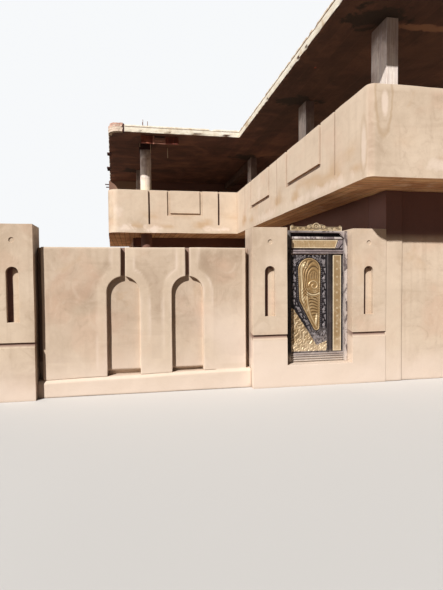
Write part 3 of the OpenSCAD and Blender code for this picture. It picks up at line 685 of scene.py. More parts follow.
def wall_chalk(p):
    """Chalky line where each arch's newer band ends, worn in places, and a freshly dusted right end."""
    gap = wavy_arch_gap(p)
    line = math.exp(-((gap - BAND_W) / 0.020) ** 2) + 0.6 * math.exp(-((gap - 0.02) / 0.016) ** 2)
    worn = smooth(noise.noise(p * 2.3), -0.35, 0.25)
    fresh = smooth(p.x + 0.5 * p.z + 0.5 * noise.noise(p * 1.1), -2.5, -1.5) * (1.0 - smooth(p.z, 0.9, 1.9))
    return min(1.0, max(0.55 * line * worn, 0.65 * fresh)) * (p.z > 0.45)


def wall_grime(p):
    """Painted shade in the slots over the arches, in the joints at the panels' ends and on the arches' backs, and
    faint grime over the field.
    """
    inner = p.y > PANEL_BACK
    slot = inner and p.z > ARCH_SPRING + ARCH_R + 0.03 and nearest(p.x, ARCH_X) < 0.05
    joint = inner and p.z > WALL_FOOT and nearest(p.x, PANEL_END_X) < 0.10
    gap = arch_gap(p)
    field = smooth(gap, 0.17, 0.20) * (p.z > WALL_FOOT) * (0.06 + 0.07 * noise.noise(p * 1.7))
    back = (1.0 - smooth(gap, -0.03, 0.0)) * (p.z > SILL_Z + 0.01) * (0.13 + 0.08 * noise.noise(p * 2.1))
    return max(0.70 * slot, 0.45 * joint, field, back)


NICHE_X = (-5.985, -1.495, 0.495)
# How far from each niche's left side its painted shadow reaches.
NICHE_HALF, NICHE_SHADOW_W = 0.100, 0.094
PIER_FIELD_Y, PIER_GROOVE_Y, NICHE_BACK = -7.44, -7.40, -7.30
JOINT_Z = (0.84, 1.02)
SHADOW_START, SHADOW_END = 0.85 * NICHE_SHADOW_W - NICHE_HALF, NICHE_SHADOW_W - NICHE_HALF


def pier_grime(p):
    """Painted shade in the joint under the raised field and, fainter, on all that lies behind it, and a painted
    shadow down the left and across the top of each niche.
    """
    if not (p.y > PIER_FIELD_Y and 0.5 < p.z < 2.9):
        return 0.0
    for centre in NICHE_X:
        if 1.30 < p.z < 2.30 and abs(p.x - centre) < NICHE_HALF + 0.02 and p.y < NICHE_BACK:
            return 0.94 * max(1.0 - smooth(p.x - centre, SHADOW_START, SHADOW_END), smooth(p.z, 2.20, 2.26))
    return 0.80 if JOINT_Z[0] < p.z < JOINT_Z[1] and p.y < PIER_GROOVE_Y else 0.3


def pier_pale(p):
    """Newer, paler coat on the piers, freshest on the lower block."""
    return 0.40 + 0.35 * (1.0 - smooth(p.z, 0.90, 0.96)) + 0.25 * noise.noise(p * 1.9)


def pier_chalk(p):
    """Dust on the lower block, thicker on the left pier of the gate."""
    fresh = 0.6 if p.x < -0.5 else 0.3
    return fresh * (1.0 - smooth(p.z, 0.88, 0.93)) + 0.15 * smooth(noise.noise(p * 2.7), 0.1, 0.5)


def corner_grime(p):
    """Painted shade on the wall under the overhang, above where the shadow's edge falls."""
    return 0.94 * smooth(p.z + 0.03 * noise.noise(p * 2.0), 2.76, 2.94)


def corner_pale(p):
    """Pilaster in a paler coat than the wall beside it."""
    return 0.75 if p.x < 1.16 else 0.15


def yard_grime(p):
    """Walls of the court, with painted shade under the upper floor on the side that looks at the court."""
    court = (p.x < 1.0 and p.y < 2.0) or (p.y < 4.0 and p.x < 0.9)
    return 0.89 * smooth(p.z + 0.08 * noise.noise(p * 2.0), 2.55, 2.95) if court else 0.0


SIDE_X, FRONT_Y, HOUSE_Y, BACK_Y, BACK_WALL_Y = -0.103, -8.550, 1.250, 8.550, 8.1
FLUTE_HALF, STREET_FLUTE_X = 0.045, 1.226
SIDE_FLUTES, HOUSE_FLUTES = (-7.221, -3.567, 0.055), (-3.369, -0.801)
PARAPET_FOOT, PARAPET_TOP = 3.800, 5.250


def shell_shape(p):
    """The street front's left flute stands a little further right, outside the photograph."""
    if p.y < FRONT_Y + 0.2 and abs(p.x - STREET_FLUTE_X) < 0.075 and p.z > PARAPET_FOOT:
        return p + Vector((0.11, 0.0, 0.0))
    return p


def shell_depth(p):
    """How far a point lies behind the parapet's outer face."""
    if FRONT_Y + 0.55 < p.y < HOUSE_Y - 0.15 and p.x < SIDE_X + 0.2:
        return p.x - SIDE_X
    if p.x > 0.45 and p.y < FRONT_Y + 0.2:
        return p.y - FRONT_Y
    if -4.35 < p.x < SIDE_X - 0.1 and p.y < HOUSE_Y + 0.2:
        return p.y - HOUSE_Y
    return 0.0


def shell_pale(p):
    """Lime bloom along the foot and the top of the parapets, drips, and painted light on the outer side face."""
    ragged = 0.05 * noise.noise(p * 3.0)
    foot = 1.0 - smooth(p.z, 3.80 + ragged, 3.95 + ragged)
    top = smooth(p.z, PARAPET_TOP, 5.285)
    run = smooth(noise.noise(Vector((p.x * 5.0, p.y * 5.0, 1.0))), 0.30, 0.6) * smooth(p.z, 4.1, 5.3)
    # Paler on the outer side face and on the left wing's front; on the side face this is painted light.
    side = 0.6 if p.x < SIDE_X + 0.02 and p.y < HOUSE_Y + 0.05 else 0.0
    street = p.x > 0.3 and p.y < FRONT_Y + 0.1
    return max((0.15 if street else 0.35) * foot, 0.9 * top, 0.8 * run, side)


def shell_stain(p):
    """Ochre all over the back wall and in a band on the parapets."""
    if p.y > BACK_WALL_Y:
        return 1.0
    band = smooth(p.z, 3.85, 4.0) * (1.0 - smooth(p.z, 4.15, 4.6))
    return 0.9 * band * smooth(noise.noise(Vector((p.x * 1.7, p.y * 1.7, p.z * 3.0))), -0.1, 0.45)


def shell_grime(p):
    """Dark grooves, partly painted shade, painted shade on the rounded corner to damp its highlight, and painted
    shade on the faces inside the open storey.
    """
    if p.z < PARAPET_FOOT:
        return 0.0
    # Painted shade on the rounded corner, damping its highlight.
    if p.x < 0.05 and p.y < FRONT_Y + 0.15:
        return 0.24 * (1.0 - smooth(math.hypot(p.x - SIDE_X, p.y - FRONT_Y), 0.05, 0.13))
    # Painted shade inside the open storey, deepest right of the round column.
    if p.y > BACK_WALL_Y:
        return (0.52 + 0.40 * smooth(p.x, -3.7, -3.4) + 0.25 * smooth(p.x, -4.6, -4.9)) * (p.y < BACK_Y - 0.08)
    if p.z > PARAPET_TOP or not 0.010 < shell_depth(p) < 0.086:
        return 0.0
    side = p.x < SIDE_X + 0.2 and p.y < HOUSE_Y - 0.1
    flute = nearest(p.y, SIDE_FLUTES) if side else nearest(p.x, HOUSE_FLUTES)
    if flute < FLUTE_HALF or p.y < FRONT_Y + 0.2:
        return 0.72
    return 0.42 if side else 0.0


def make_plaster():
    fine, wide = (0.10, 0.30, 0.10), (0.30, 0.30, 0.30)
    niche_cuts = [x + start for x in NICHE_X for start in (SHADOW_START, SHADOW_END)]
    plastered("street_wall_face", ["street_wall", "street_plinth", "wall_panel_left", "wall_panel_middle",
                                   "wall_panel_right"], 0.014, (0.035, 0.30, 0.035), 0.006, shape=wall_shape,
              pale=wall_pale, grime=wall_grime, chalk=wall_chalk)
    plastered("left_pier_face", ["left_pier"], 0.016, fine, 0.006, cuts=niche_cuts, grime=pier_grime)
    plastered("gate_piers", ["gate_pier_left", "gate_threshold", "gate_pier_right"], 0.014, fine, 0.005,
              cuts=niche_cuts, grime=pier_grime, pale=pier_pale, chalk=pier_chalk)
    plastered("corner_pilasters", ["corner_pilaster_left", "wing_front_wall", "corner_pilaster_right"],
              0.012, (0.10, 0.30, 0.06), 0.006, grime=corner_grime, pale=corner_pale)
    plastered("upper_shell", ["first_floor_wing", "first_floor_house", "parapet_wing_front",
                              "parapet_wing_side", "parapet_right", "parapet_house_front",
                              "parapet_house_left", "upper_back_wall"], 0.014, (0.15, 0.15, 0.12), 0.007,
              stain=shell_stain, pale=shell_pale, grime=shell_grime, shape=shell_shape)
    plastered("yard_walls", ["wing_court_wall_front", "wing_court_wall_back", "wing_door_lintel",
                             "house_court_wall_left", "house_court_wall_right", "house_door_lintel",
                             "wing_right_wall", "house_back_wall", "house_left_wall"],
              0.012, wide, 0.006, YARD, grime=yard_grime)
    plastered("outer_walls", ["yard_side_wall", "yard_back_wall"], 0.014, wide, 0.008, YARD)
    plastered("lower_column", ["lower_round_column"], 0.010, wide, 0.004, YARD,
              # Painted shade on the column's top under the overhang.
              grime=lambda p: 0.85 * smooth(p.z, 2.75, 3.05))


# Roof, columns and what the builders left behind

def top_loop(bm, z):
    """Corners, in order, of the flat face or faces at a height."""
    top = {f for f in bm.faces if f.normal.z > 0.9 and abs(f.calc_center_median().z - z) < 0.01}
    edges = {e for f in top for e in f.edges if sum(g in top for g in e.link_faces) == 1}
    start = min((v for e in edges for v in e.verts), key=lambda v: v.co[:])
    loop, here = [start.co.copy()], start
    while True:
        edge = next((e for e in edges if here in e.verts), None)
        if edge is None:
            break
        edges.discard(edge)
        here = edge.other_vert(here)
        if here == start:
            break
        loop.append(here.co.copy())
    area = sum(a.x * b.y - b.x * a.y for a, b in zip(loop, loop[1:] + loop[:1]))
    return loop if area > 0 else loop[:1] + loop[:0:-1]


def resampled(points, step, closed=True):
    """A line cut into equal parts no longer than a step."""
    result = []
    for a, b in zip(points, points[1:] + (points[:1] if closed else [])):
        count = max(1, math.ceil((b - a).length / step))
        result += [a.lerp(b, k / count) for k in range(count)]
    return result if closed else result + [points[-1]]


def capped(bm, ring, z, size):
    """Closes a ring of points with small, slightly uneven faces."""
    count, pitch = len(ring), 0.30
    flat = [v.co.xy for v in ring]
    tree = kdtree.KDTree(count)
    for k, p in enumerate(flat):
        tree.insert((p.x, p.y, 0.0), k)
    tree.balance()
    (x0, y0), (x1, y1) = extent(flat, 2)
    inner = [Vector((x, y)) for x in np.arange(x0, x1, pitch) for y in np.arange(y0, y1, pitch)
             if tree.find((x, y, 0.0))[2] > 0.12]
    sides = [(k, (k + 1) % count) for k in range(count)]
    points, _, faces, origin, _, _ = geometry.delaunay_2d_cdt(flat + inner, sides, [], 1, 1e-6)
    made = {}
    for corners in faces:
        for i in corners:
            if i not in made:
                own = [k for k in origin[i] if k < count]
                at = Vector((points[i].x, points[i].y, z))
                made[i] = ring[own[0]] if own else bm.verts.new(at + Vector((0, 0, size * noise.noise(at * 1.3))))
        bm.faces.new([made[i] for i in corners])


# The roof's edge from its foot up: height, setback
ROOF_EDGE = [(0.0, 0.022), (0.008, 0.010), (0.045, 0.012), (0.075, 0.004), (0.110, 0.010), (0.150, 0.003),
             (0.178, 0.012), (0.186, 0.0), (0.215, 0.003), (0.240, 0.010), (0.25, 0.024)]


def make_roof():
    """Slab whose edge is chipped at the lips, ragged underneath and layered in between."""
    fused = joined("roof_fused", ["roof_wing", "roof_house"])
    bm = bmesh.new()
    bm.from_mesh(fused.data)
    bpy.data.objects.remove(fused)
    corners = top_loop(bm, ROOF_TOP)
    bm.free()
    line = resampled(corners, 0.05)
    count = len(line)
    kerb_low, kerb_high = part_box("roof_corner_bricks")
    sharp = [b for a, b, c in zip(corners[-1:] + corners[:-1], corners, corners[1:] + corners[:1])
             if (b - a).angle(c - b) > 0.5]
    inward, rough = [], []
    for k, p in enumerate(line):
        along = (line[(k + 1) % count] - line[k - 1]).normalized()
        kerb = all(kerb_low[i] - 0.05 < p[i] < kerb_high[i] + 0.05 for i in (0, 1))
        corner = min((p - c).length for c in sharp)
        inward.append(Vector((-along.y, along.x, 0.0)) * (0.1 if kerb else 1.41 if corner < 0.001 else 1.0))
        rough.append(0.0 if kerb else smooth(corner, 0.04, 0.35))
    bm = bmesh.new()
    rings = []
    for up, inset in ROOF_EDGE:
        ring = []
        for k in range(count):
            p = line[k] + Vector((0, 0, 0.4 * up))
            chip_low = (max(0.0, noise.noise(p * 4.1 + Vector((3, 1, 0)))) ** 1.5 * 0.12
                        * (1.0 - smooth(up, 0.0, 0.09)))
            chip_top = max(0.0, noise.noise(p * 5.3) - 0.05) ** 1.3 * 0.085 * smooth(up, 0.15, 0.25)
            grain = max(-inset, 0.006 * noise.noise(line[k] * 23.0 + Vector((0, 0, 31 * up))))
            away = inward[k] * (inset + rough[k] * (chip_low + chip_top + grain))
            lift = rough[k] * (0.35 * chip_low - 0.6 * chip_top)
            ring.append(bm.verts.new(Vector((line[k].x, line[k].y, ROOF_LOW + up + lift)) + away))
        rings.append(ring)
    for low, high in zip(rings, rings[1:]):
        for k in range(count):
            j = (k + 1) % count
            bm.faces.new((low[k], low[j], high[j], high[k]))
    capped(bm, rings[0], ROOF_LOW, 0.008)
    capped(bm, rings[-1], ROOF_TOP, 0.010)
    bmesh.ops.recalc_face_normals(bm, faces=bm.faces)
    slab = finished(new_object("roof_slab", bm), ROOF, 35.0)
    piece(slab, ROOF, "root", "concrete", "roof_wing", "roof_house", angle=35.0)


def make_kerb():
    """Kerb of header bricks set in mortar round the roof's corner, its top course broken off on the left."""
    bm = node_mesh("roof_corner_bricks")
    top = max(v.co.z for v in bm.verts)
    loop = top_loop(bm, top)
    for v in bm.verts:
        v.co -= v.normal * 0.007
        if v.co.z > top - 0.05:
            v.co.z -= 0.055
    core = rounded(new_object("kerb_mortar", bm), 0.012, angle=45.0)
    piece(finished(core, MORTAR), MORTAR, "root", "brick", "roof_corner_bricks", angle=45.0)

    width, step, courses = 0.12, 0.01, 4
    pitch, rise_z, joint = 0.112, 0.076, 0.010
    ends = [k for k in range(len(loop)) if abs((loop[k] - loop[k - 1]).length - width) < 0.012]
    first, last = ends[0], ends[-1]
    outer = max([loop[first:last], loop[last:] + loop[:first]],
                key=lambda chain: sum((b - a).length for a, b in zip(chain, chain[1:])))
    outer = resampled(outer, step, closed=False)
    rng = random.Random(5)
    bm = bmesh.new()
    for course in range(courses):
        for n in range(int(len(outer) * step / pitch)):
            at = int((n * pitch + pitch / 2 + 0.5 * pitch * (course % 2)) / step)
            top_course = course == courses - 1
            if at + 5 >= len(outer) or (top_course and n < 3):
                continue
            along = (outer[min(at + 4, len(outer) - 1)] - outer[max(at - 4, 0)]).normalized()
            inside = Vector((-along.y, along.x, 0.0))
            top_loss = 0.012 * rng.random() if top_course else 0.0
            z = ROOF_LOW + 0.006 + rise_z * (course + 0.5) + rng.uniform(-0.003, 0.003) - top_loss / 2
            centre = Vector((outer[at].x, outer[at].y, z)) + inside * (width / 2 + rng.uniform(0.000, 0.005))
            size = (pitch - joint, width, rise_z - joint - top_loss)
            for v in bmesh.ops.create_cube(bm, size=1.0)["verts"]:
                wear = 0.004 * noise.noise_vector(centre * 9.0 + v.co * 3.0)
                x, y, z = (c * s for c, s in zip(v.co, size))
                v.co = centre + along * x + inside * y + Vector((0, 0, z)) + wear
    bmesh.ops.recalc_face_normals(bm, faces=bm.faces)
    bricks = rounded(new_object("kerb_bricks", bm), 0.006)
    piece(finished(bricks, BRICK), BRICK, "root", "brick", angle=45.0)


def make_kerb_joint():
    """Tarred lath standing in the joint between the kerb and the roof's edge."""
    low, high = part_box("roof_corner_bricks")
    plank("kerb_joint_lath", (high[0] - 0.004, low[1] - 0.006, low[2] - 0.010),
          (high[0] + 0.042, low[1] + 0.10, high[2] - 0.045), SOOTED)


def make_columns():
    for name, node, width, rise_step, size, material in (
            ("upper_storey_columns", "upper_columns", 0.010, 0.15, 0.004, CONCRETE),
            ("upper_storey_round_column", "upper_round_column", 0.006, 0.15, 0.003, CONCRETE),
            ("roof_beam_face", "roof_beam", 0.010, 0.30, 0.004, BEAM)):
        plastered(name, [node], width, (0.30, 0.30, rise_step), size, material)


def plank(name, low, high, material, turn=0.0, *nodes):
    """Sawn board with worn edges, uneven and turned a little about its middle."""
    bm = unit_cube()
    low, high = Vector(low), Vector(high)
    middle, size = (low + high) / 2, high - low
    for v in bm.verts:
        v.co = Vector(c * s for c, s in zip(v.co, size))
    gridded(bm, (0.06, 0.06, 0.06), -size / 2, size / 2)
    spin = Matrix.Rotation(math.radians(turn), 3, "Y")
    for v in bm.verts:
        v.co = middle + spin @ (v.co + 0.004 * noise.noise_vector((v.co + middle) * 7.0))
    board = finished(rounded(new_object(name, bm), 0.003, 1), material)
    piece(board, material, "root", "timber", *nodes, angle=40.0)


def make_formwork():
    """Boards left under the roof's edge and round the column's head, with hanging laths and starter bars."""
    low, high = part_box("formwork_boards")
    y0, y1, foot, top = low[1], low[1] + 0.025, low[2], high[2]
    plank("edge_board_left", (-3.647, y0, foot), (-3.250, y1, top), BOARDS, 0.4, "formwork_boards")
    plank("edge_board_middle", (-3.185, y0 + 0.002, foot), (-2.800, y1, foot + 0.120), DUSTY, 1.2)
    plank("edge_board_batten", (-3.185, y0 + 0.004, top - 0.050), (-2.760, y1, top), SOOTED)
    plank("edge_board_right", (-2.805, y0, foot + 0.004), (-2.344, y1, top - 0.012), BOARDS, -0.6)
    plank("edge_board_post", (-3.240, y0 - 0.012, foot - 0.015), (-3.192, y1, top), DUSTY)
    centre, half, thick, box_foot = (-3.465, 1.890), 0.2295, 0.025, top - 0.205
    for number, (sx, sy) in enumerate(((0, -1), (0, 1), (-1, 0), (1, 0))):
        wide = (half, thick / 2) if sx == 0 else (thick / 2, half - thick)
        mid = (centre[0] + sx * (half - thick / 2), centre[1] + sy * (half - thick / 2))
        plank("collar_board_%d" % number, (mid[0] - wide[0], mid[1] - wide[1], box_foot + 0.006 * number),
              (mid[0] + wide[0], mid[1] + wide[1], top), SOOTED)
    laths = (((-3.675, 1.640, 6.930), 7.060), ((-3.280, 1.640, 6.725), 7.050), ((-2.630, 2.010, 6.660), 7.040))
    for number, ((x, y, z), end) in enumerate(laths):
        plank("hanging_lath_%d" % number, (x - 0.011, y - 0.007, z), (x + 0.011, y + 0.007, end), STICK,
              1.0 - number)
    for number, (x, y, length) in enumerate(((-4.905, 3.05, 0.34), (-5.035, 5.40, 0.60))):
        plank("roof_end_stub_%d" % number, (x - 0.015, y, ROOF_LOW - 0.05),
              (x + 0.12, y + length, ROOF_LOW - 0.002), SOOTED)
    for number, (z, reach) in enumerate(((6.868, 0.24), (6.735, 0.19))):
        plank("wall_end_stick_%d" % number, (-5.06 - reach, 8.36, z - 0.022), (-4.90, 8.40, z + 0.022), SOOTED,
              1.5 - 3 * number)
    paths = []
    for n, (sx, sy) in enumerate(((-1, -1), (-1, 1), (1, -1), (1, 1))):
        x, y = sx * 0.09 + centre[0], sy * 0.09 + centre[1]
        lean = Vector((0.010 * math.cos(2.1 * n), 0.010 * math.sin(1.7 * n + 1.0), 0.0))
        height = 0.688 - 0.035 * (n % 3)
        paths.append([Vector((x, y, ROOF_TOP - 0.01 + height * k / 12)) + lean * math.sin(k / 12 * 2.2)
                      for k in range(13)])
    ribs = [[path[0] + (path[-1] - path[0]) * f for f in (k / 40 - 0.004, k / 40 + 0.004)]
            for path in paths for k in range(2, 40)]
    round_bar("starter_bar_rods", paths, 0.0075, RUST, "rusty_steel", "starter_bars")
    round_bar("starter_bar_ribs", ribs, 0.0088, RUST, "rusty_steel")


# Gate

LEAF_LOW, LEAF_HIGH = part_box("gate_leaf")
FIELD_LOW, FIELD_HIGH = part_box("gate_leaf_panel")
LEAF_Y = LEAF_LOW[1]
FIELD_R = 0.230
# Centre of the gilt field's round head, from which the places on the leaf are counted
HEAD_X, HEAD_Z = FIELD_LOW[0] + FIELD_R, FIELD_HIGH[2] - FIELD_R
SCROLL_X, SCROLL_Z = HEAD_X + 0.088, HEAD_Z - 0.310
STEM_X, STEM_Z, STEM_R = HEAD_X + 0.956, HEAD_Z - 0.527, 1.0
HEAD, SWELL, TIP = (0.0, 0.0, FIELD_R), (-0.050, -0.555, 0.160), (0.145, -1.130, 0.065)
CORNER_SIDE = ((-0.390, -0.730), (-0.323, -0.762), (0.152, -1.484), (0.367, -1.400), (0.367, -1.602),
               (-0.390, -1.602))


def bell(d, width):
    return np.exp(-(d / width) ** 2)


def rise(x, low, high):
    t = np.clip((x - low) / (high - low), 0.0, 1.0)
    return t * t * (3 - 2 * t)


def wave(x, pitch):
    return np.sin(x * 2 * math.pi / pitch)


def segment(x, z, a, b):
    """Share of the way from a to b of the place on that line nearest to a point, and the distance to it."""
    ex, ez, wx, wz = b[0] - a[0], b[1] - a[1], x - a[0], z - a[1]
    t = np.clip((wx * ex + wz * ez) / (ex * ex + ez * ez + 1e-12), 0.0, 1.0)
    return t, np.hypot(wx - ex * t, wz - ez * t)


def path_gap(x, z, points):
    """Distance from an open line of points."""
    return np.minimum.reduce([segment(x, z, a, b)[1] for a, b in zip(points, points[1:])])


def outline_gap(x, z, points):
    """Signed distance from a closed outline, negative inside."""
    sign = np.ones(x.shape)
    for (ax, az), (bx, bz) in zip(points, points[1:] + points[:1]):
        above_a, below_b, left = z >= az, z < bz, (bx - ax) * (z - az) > (bz - az) * (x - ax)
        flips = (above_a & below_b & left) | (~above_a & ~below_b & ~left)
        sign = np.where(flips, -sign, sign)
    return sign * path_gap(x, z, points + points[:1])


def spiral(centre, r0, r1, t0, t1):
    count = max(6, int((t1 - t0) / 15))
    turns = [(r0 + (r1 - r0) * k / count, math.radians(t0 + (t1 - t0) * k / count)) for k in range(count + 1)]
    return [(centre[0] + r * math.cos(t), centre[1] + r * math.sin(t)) for r, t in turns]


def relief(name, low, high, step, face_y, height, depth, lowest=None, **paints):
    """Closed sheet in the gate's plane whose front stands height(x, z) in front of face_y, and which ends
    where that falls below the lowest height."""
    nx, nz = (int(round((high[i] - low[i]) / step)) for i in (0, 1))
    xs, zs = np.linspace(low[0], high[0], nx + 1), np.linspace(low[1], high[1], nz + 1)
    x, z = np.meshgrid(xs, zs, indexing="ij")
    h = height(x, z)
    lifted = np.ones(h.shape, bool) if lowest is None else h > lowest
    inside = lifted[:-1, :-1] | lifted[1:, :-1] | lifted[1:, 1:] | lifted[:-1, 1:]
    number = np.arange((nx + 1) * (nz + 1)).reshape(nx + 1, nz + 1)
    quads = np.stack([number[:-1, :-1], number[1:, :-1], number[1:, 1:], number[:-1, 1:]], axis=-1)[inside]
    front = np.stack([x, face_y - h, z], axis=-1).reshape(-1, 3)
    bm = bmesh.new()
    verts = {int(i): bm.verts.new(front[i]) for i in np.unique(quads)}
    for quad in quads:
        bm.faces.new([verts[int(i)] for i in quad])
    rim = [e for e in bm.edges if len(e.link_faces) == 1]
    walls = bmesh.ops.extrude_edge_only(bm, edges=rim)["geom"]
    for v in walls:
        if isinstance(v, bmesh.types.BMVert):
            v.co.y = face_y + depth
    bmesh.ops.contextual_create(bm, geom=[e for e in walls if isinstance(e, bmesh.types.BMEdge)
                                          and all(abs(v.co.y - face_y - depth) < 1e-6 for v in e.verts)])
    bmesh.ops.recalc_face_normals(bm, faces=bm.faces)
    # What is extruded comes in another order each run
    for parts, place in ((bm.verts, lambda v: v.co), (bm.edges, lambda e: e.verts[0].co + e.verts[1].co),
                         (bm.faces, lambda f: f.calc_center_median())):
        for index, part in enumerate(sorted(parts, key=lambda part: place(part)[:])):
            part.index = index
        parts.sort()
    obj = new_object(name, bm)
    co = np.array([v.co for v in obj.data.vertices])
    for label, rule in paints.items():
        keep(obj, label, np.clip(rule(co[:, 0], co[:, 2]), 0.0, 1.0))
    return obj


def capsule_gap(x, z, first, second):
    """Signed distance from two circles (x, z, radius) and the band between them."""
    dx, dz = second[0] - first[0], second[1] - first[1]
    length = math.hypot(dx, dz)
    along = ((x - first[0]) * dx + (z - first[1]) * dz) / length
    across = np.abs((z - first[1]) * dx - (x - first[0]) * dz) / length
    slope = (first[2] - second[2]) / length
    even = math.sqrt(1 - slope * slope)
    k = even * along - slope * across
    return np.where(k < 0, np.hypot(across, along) - first[2],
                    np.where(k > even * length, np.hypot(across, along - length) - second[2],
                             even * across + slope * along - first[2]))


def field_gap(x, z):
    rounds = [(HEAD_X + a, HEAD_Z + b, r) for a, b, r in (HEAD, SWELL, TIP)]
    gaps = [capsule_gap(x, z, rounds[i], rounds[(i + 1) % 3]) for i in range(3)]
    return np.minimum.reduce(gaps + [outline_gap(x, z, [(a, b) for a, b, r in rounds])])


def corner_gap(x, z):
    return outline_gap(x, z, [(HEAD_X + a, HEAD_Z + b) for a, b in CORNER_SIDE])


def stem_gap(x, z):
    return np.hypot(x - STEM_X, z - STEM_Z) - STEM_R


def gilt_ribs(x, z):
    """Long ribs that come down from the head and round the large scroll, then feather barbs off the stem."""
    gap, stem = field_gap(x, z), stem_gap(x, z)
    dx, dz = x - SCROLL_X, z - SCROLL_Z
    loops = np.hypot(dx, np.where(dz > 0, dz * 0.42, dz))
    flow = wave(loops + 0.004 * np.sin(dz * 19.0), 0.043)
    flow *= rise(loops, 0.115, 0.130) * rise(0.27 - loops, 0.0, 0.03)
    plume = wave(dx + 0.5 * (dz - 0.13) ** 2, 0.034) * rise(dz, 0.12, 0.15) * rise(0.118 - loops, 0.0, 0.012)
    reach, back = np.clip(-stem, 0.0, 0.3), np.clip(stem, 0.0, 0.3)
    barbs = wave(z - 0.55 * reach + 3.4 * reach ** 2, 0.060) * rise(reach, 0.012, 0.05) * rise(-dz, 0.20, 0.24)
    barbs *= rise(z, HEAD_Z - 0.98, HEAD_Z - 0.90)
    veins = wave(z + 1.3 * back, 0.075) * rise(back, 0.015, 0.04) * rise(-dz, 0.0, 0.1)
    return (flow + plume + 1.25 * barbs + 0.6 * veins) * rise(-gap, 0.040, 0.056)


def drop(x, z):
    dz = z - (HEAD_Z - 0.975)
    dx = x - (HEAD_X + 0.140 + 0.10 * dz)
    return np.clip(1.35 - np.hypot(dx / 0.018, dz / 0.105), 0.0, 1.0)


def gilt_height(x, z):
    """Embossed field: rim, bead line, raised band on the left, scrolls, ribs and a drop at the tip."""
    gap = field_gap(x, z)
    inner = rise(-gap, 0.034, 0.050)
    h = -0.006 + 0.016 * rise(-gap, -0.003, 0.006)
    h += 0.005 * bell(gap + 0.013, 0.008) - 0.004 * bell(gap + 0.034, 0.006)
    h += 0.010 * bell(stem_gap(x, z), 0.014) * inner * rise(SCROLL_Z - 0.06 - z, 0.0, 0.10)
    for line in (spiral((SCROLL_X, SCROLL_Z), 0.022, 0.108, 90, 540),
                 spiral((HEAD_X - 0.090, HEAD_Z + 0.075), 0.012, 0.060, 0, 450)):
        h += 0.010 * bell(path_gap(x, z, line), 0.011) * inner
    return h + 0.0045 * gilt_ribs(x, z) + 0.010 * drop(x, z)


def gilt_pale_and_highlight(x, z):
    """Pale places: the rubbed bead line, left band and drop, and a painted highlight on the crests and on a loop
    under the large scroll.
    """
    gap = field_gap(x, z)
    left = rise(HEAD_X - 0.06 - x, 0.0, 0.08) * rise(z, HEAD_Z - 0.75, HEAD_Z - 0.6)
    band = rise(-gap, 0.040, 0.048) * rise(0.080 + gap, 0.0, 0.006) * left
    under = bell(np.hypot(x - SCROLL_X, z - SCROLL_Z) - 0.185, 0.012) * rise(SCROLL_Z - 0.12 - z, 0.0, 0.03)
    crest = rise(gilt_height(x, z), 0.0135, 0.020)
    tick = 0.5 + 0.5 * wave(z + 0.9 * x, 0.040)
    return np.maximum.reduce([0.45 * bell(gap + 0.013, 0.010) * tick, 0.5 * crest, 0.7 * band, under,
                              drop(x, z) * 1.6])


# Painted shade between the ribs and in the groove inside the rim.
def gilt_hollow_shade(x, z):
    return rise(-gilt_ribs(x, z), 0.15, 0.9) + 0.8 * bell(field_gap(x, z) + 0.034, 0.006)


def floral_height(x, z):
    """Overlapping pointed leaves with midribs, as pressed into thin sheet."""
    rng = random.Random(11)
    gap = corner_gap(x, z)
    h = np.zeros(x.shape)
    for row in range(15):
        for column in range(13):
            cx = LEAF_LOW[0] + 0.03 + 0.060 * column + rng.uniform(-0.02, 0.02)
            cz = LEAF_LOW[2] + 0.02 + 0.060 * row + rng.uniform(-0.02, 0.02)
            lean = 1.1 + 0.7 * math.sin(2.1 * column + 1.3 * row) + rng.uniform(-0.3, 0.3)
            half, width, bend = rng.uniform(0.040, 0.062), rng.uniform(0.012, 0.020), rng.uniform(-7.0, 7.0)
            along = (x - cx) * math.cos(lean) + (z - cz) * math.sin(lean)
            across = -(x - cx) * math.sin(lean) + (z - cz) * math.cos(lean) - bend * along ** 2
            side = width * np.sqrt(np.clip(1 - (along / half) ** 2, 0, 1)) + 1e-6
            leaf = np.clip(1 - (np.abs(across) / side) ** 2, 0, 1) * rng.uniform(0.7, 1.0)
            h = np.maximum(h, leaf * (1 - 0.5 * bell(across, 0.003)))
    return np.where(gap < 0.02, -0.005 + rise(-gap, -0.004, 0.006) * (0.0065 + 0.0100 * h), -0.005)


# Lines on which the ornament of the black border is strung, from the head's centre: left and lower left, right
BORDER_PATHS = [[(-0.305, 0.20), (-0.305, -0.58), (-0.260, -0.70), (0.095, -1.255), (0.16, -1.32)],
                [(0.300, 0.19), (0.300, -1.20), (0.245, -1.32), (0.16, -1.33)]]


def strung(path, pitch):
    """Points along a line a pitch apart, each with the line's direction there."""
    stops, run = [], 0.35 * pitch
    for (ax, az), (bx, bz) in zip(path, path[1:]):
        length = math.hypot(bx - ax, bz - az)
        while run <= length:
            k = run / length
            stops.append((ax + (bx - ax) * k, az + (bz - az) * k, math.atan2(bz - az, bx - ax)))
            run += pitch
        run -= length
    return stops


def beside(x, z, path):
    """How far along a line of points the nearest place on it is, and how far off to its left."""
    best, run, off, done = np.full(x.shape, 1e9), np.zeros(x.shape), np.zeros(x.shape), 0.0
    for a, b in zip(path, path[1:]):
        t, gap = segment(x, z, a, b)
        length = math.hypot(b[0] - a[0], b[1] - a[1])
        left = (b[0] - a[0]) * (z - a[1]) - (b[1] - a[1]) * (x - a[0])
        near = gap < best
        run = np.where(near, done + t * length, run)
        off = np.where(near, np.sign(left) * gap, off)
        best = np.minimum(best, gap)
        done += length
    return run, off


def edge_gap(x, z):
    """Distance inwards from the leaf's edge."""
    return np.minimum.reduce([x - LEAF_LOW[0], LEAF_HIGH[0] - x, z - LEAF_LOW[2], LEAF_HIGH[2] - z])


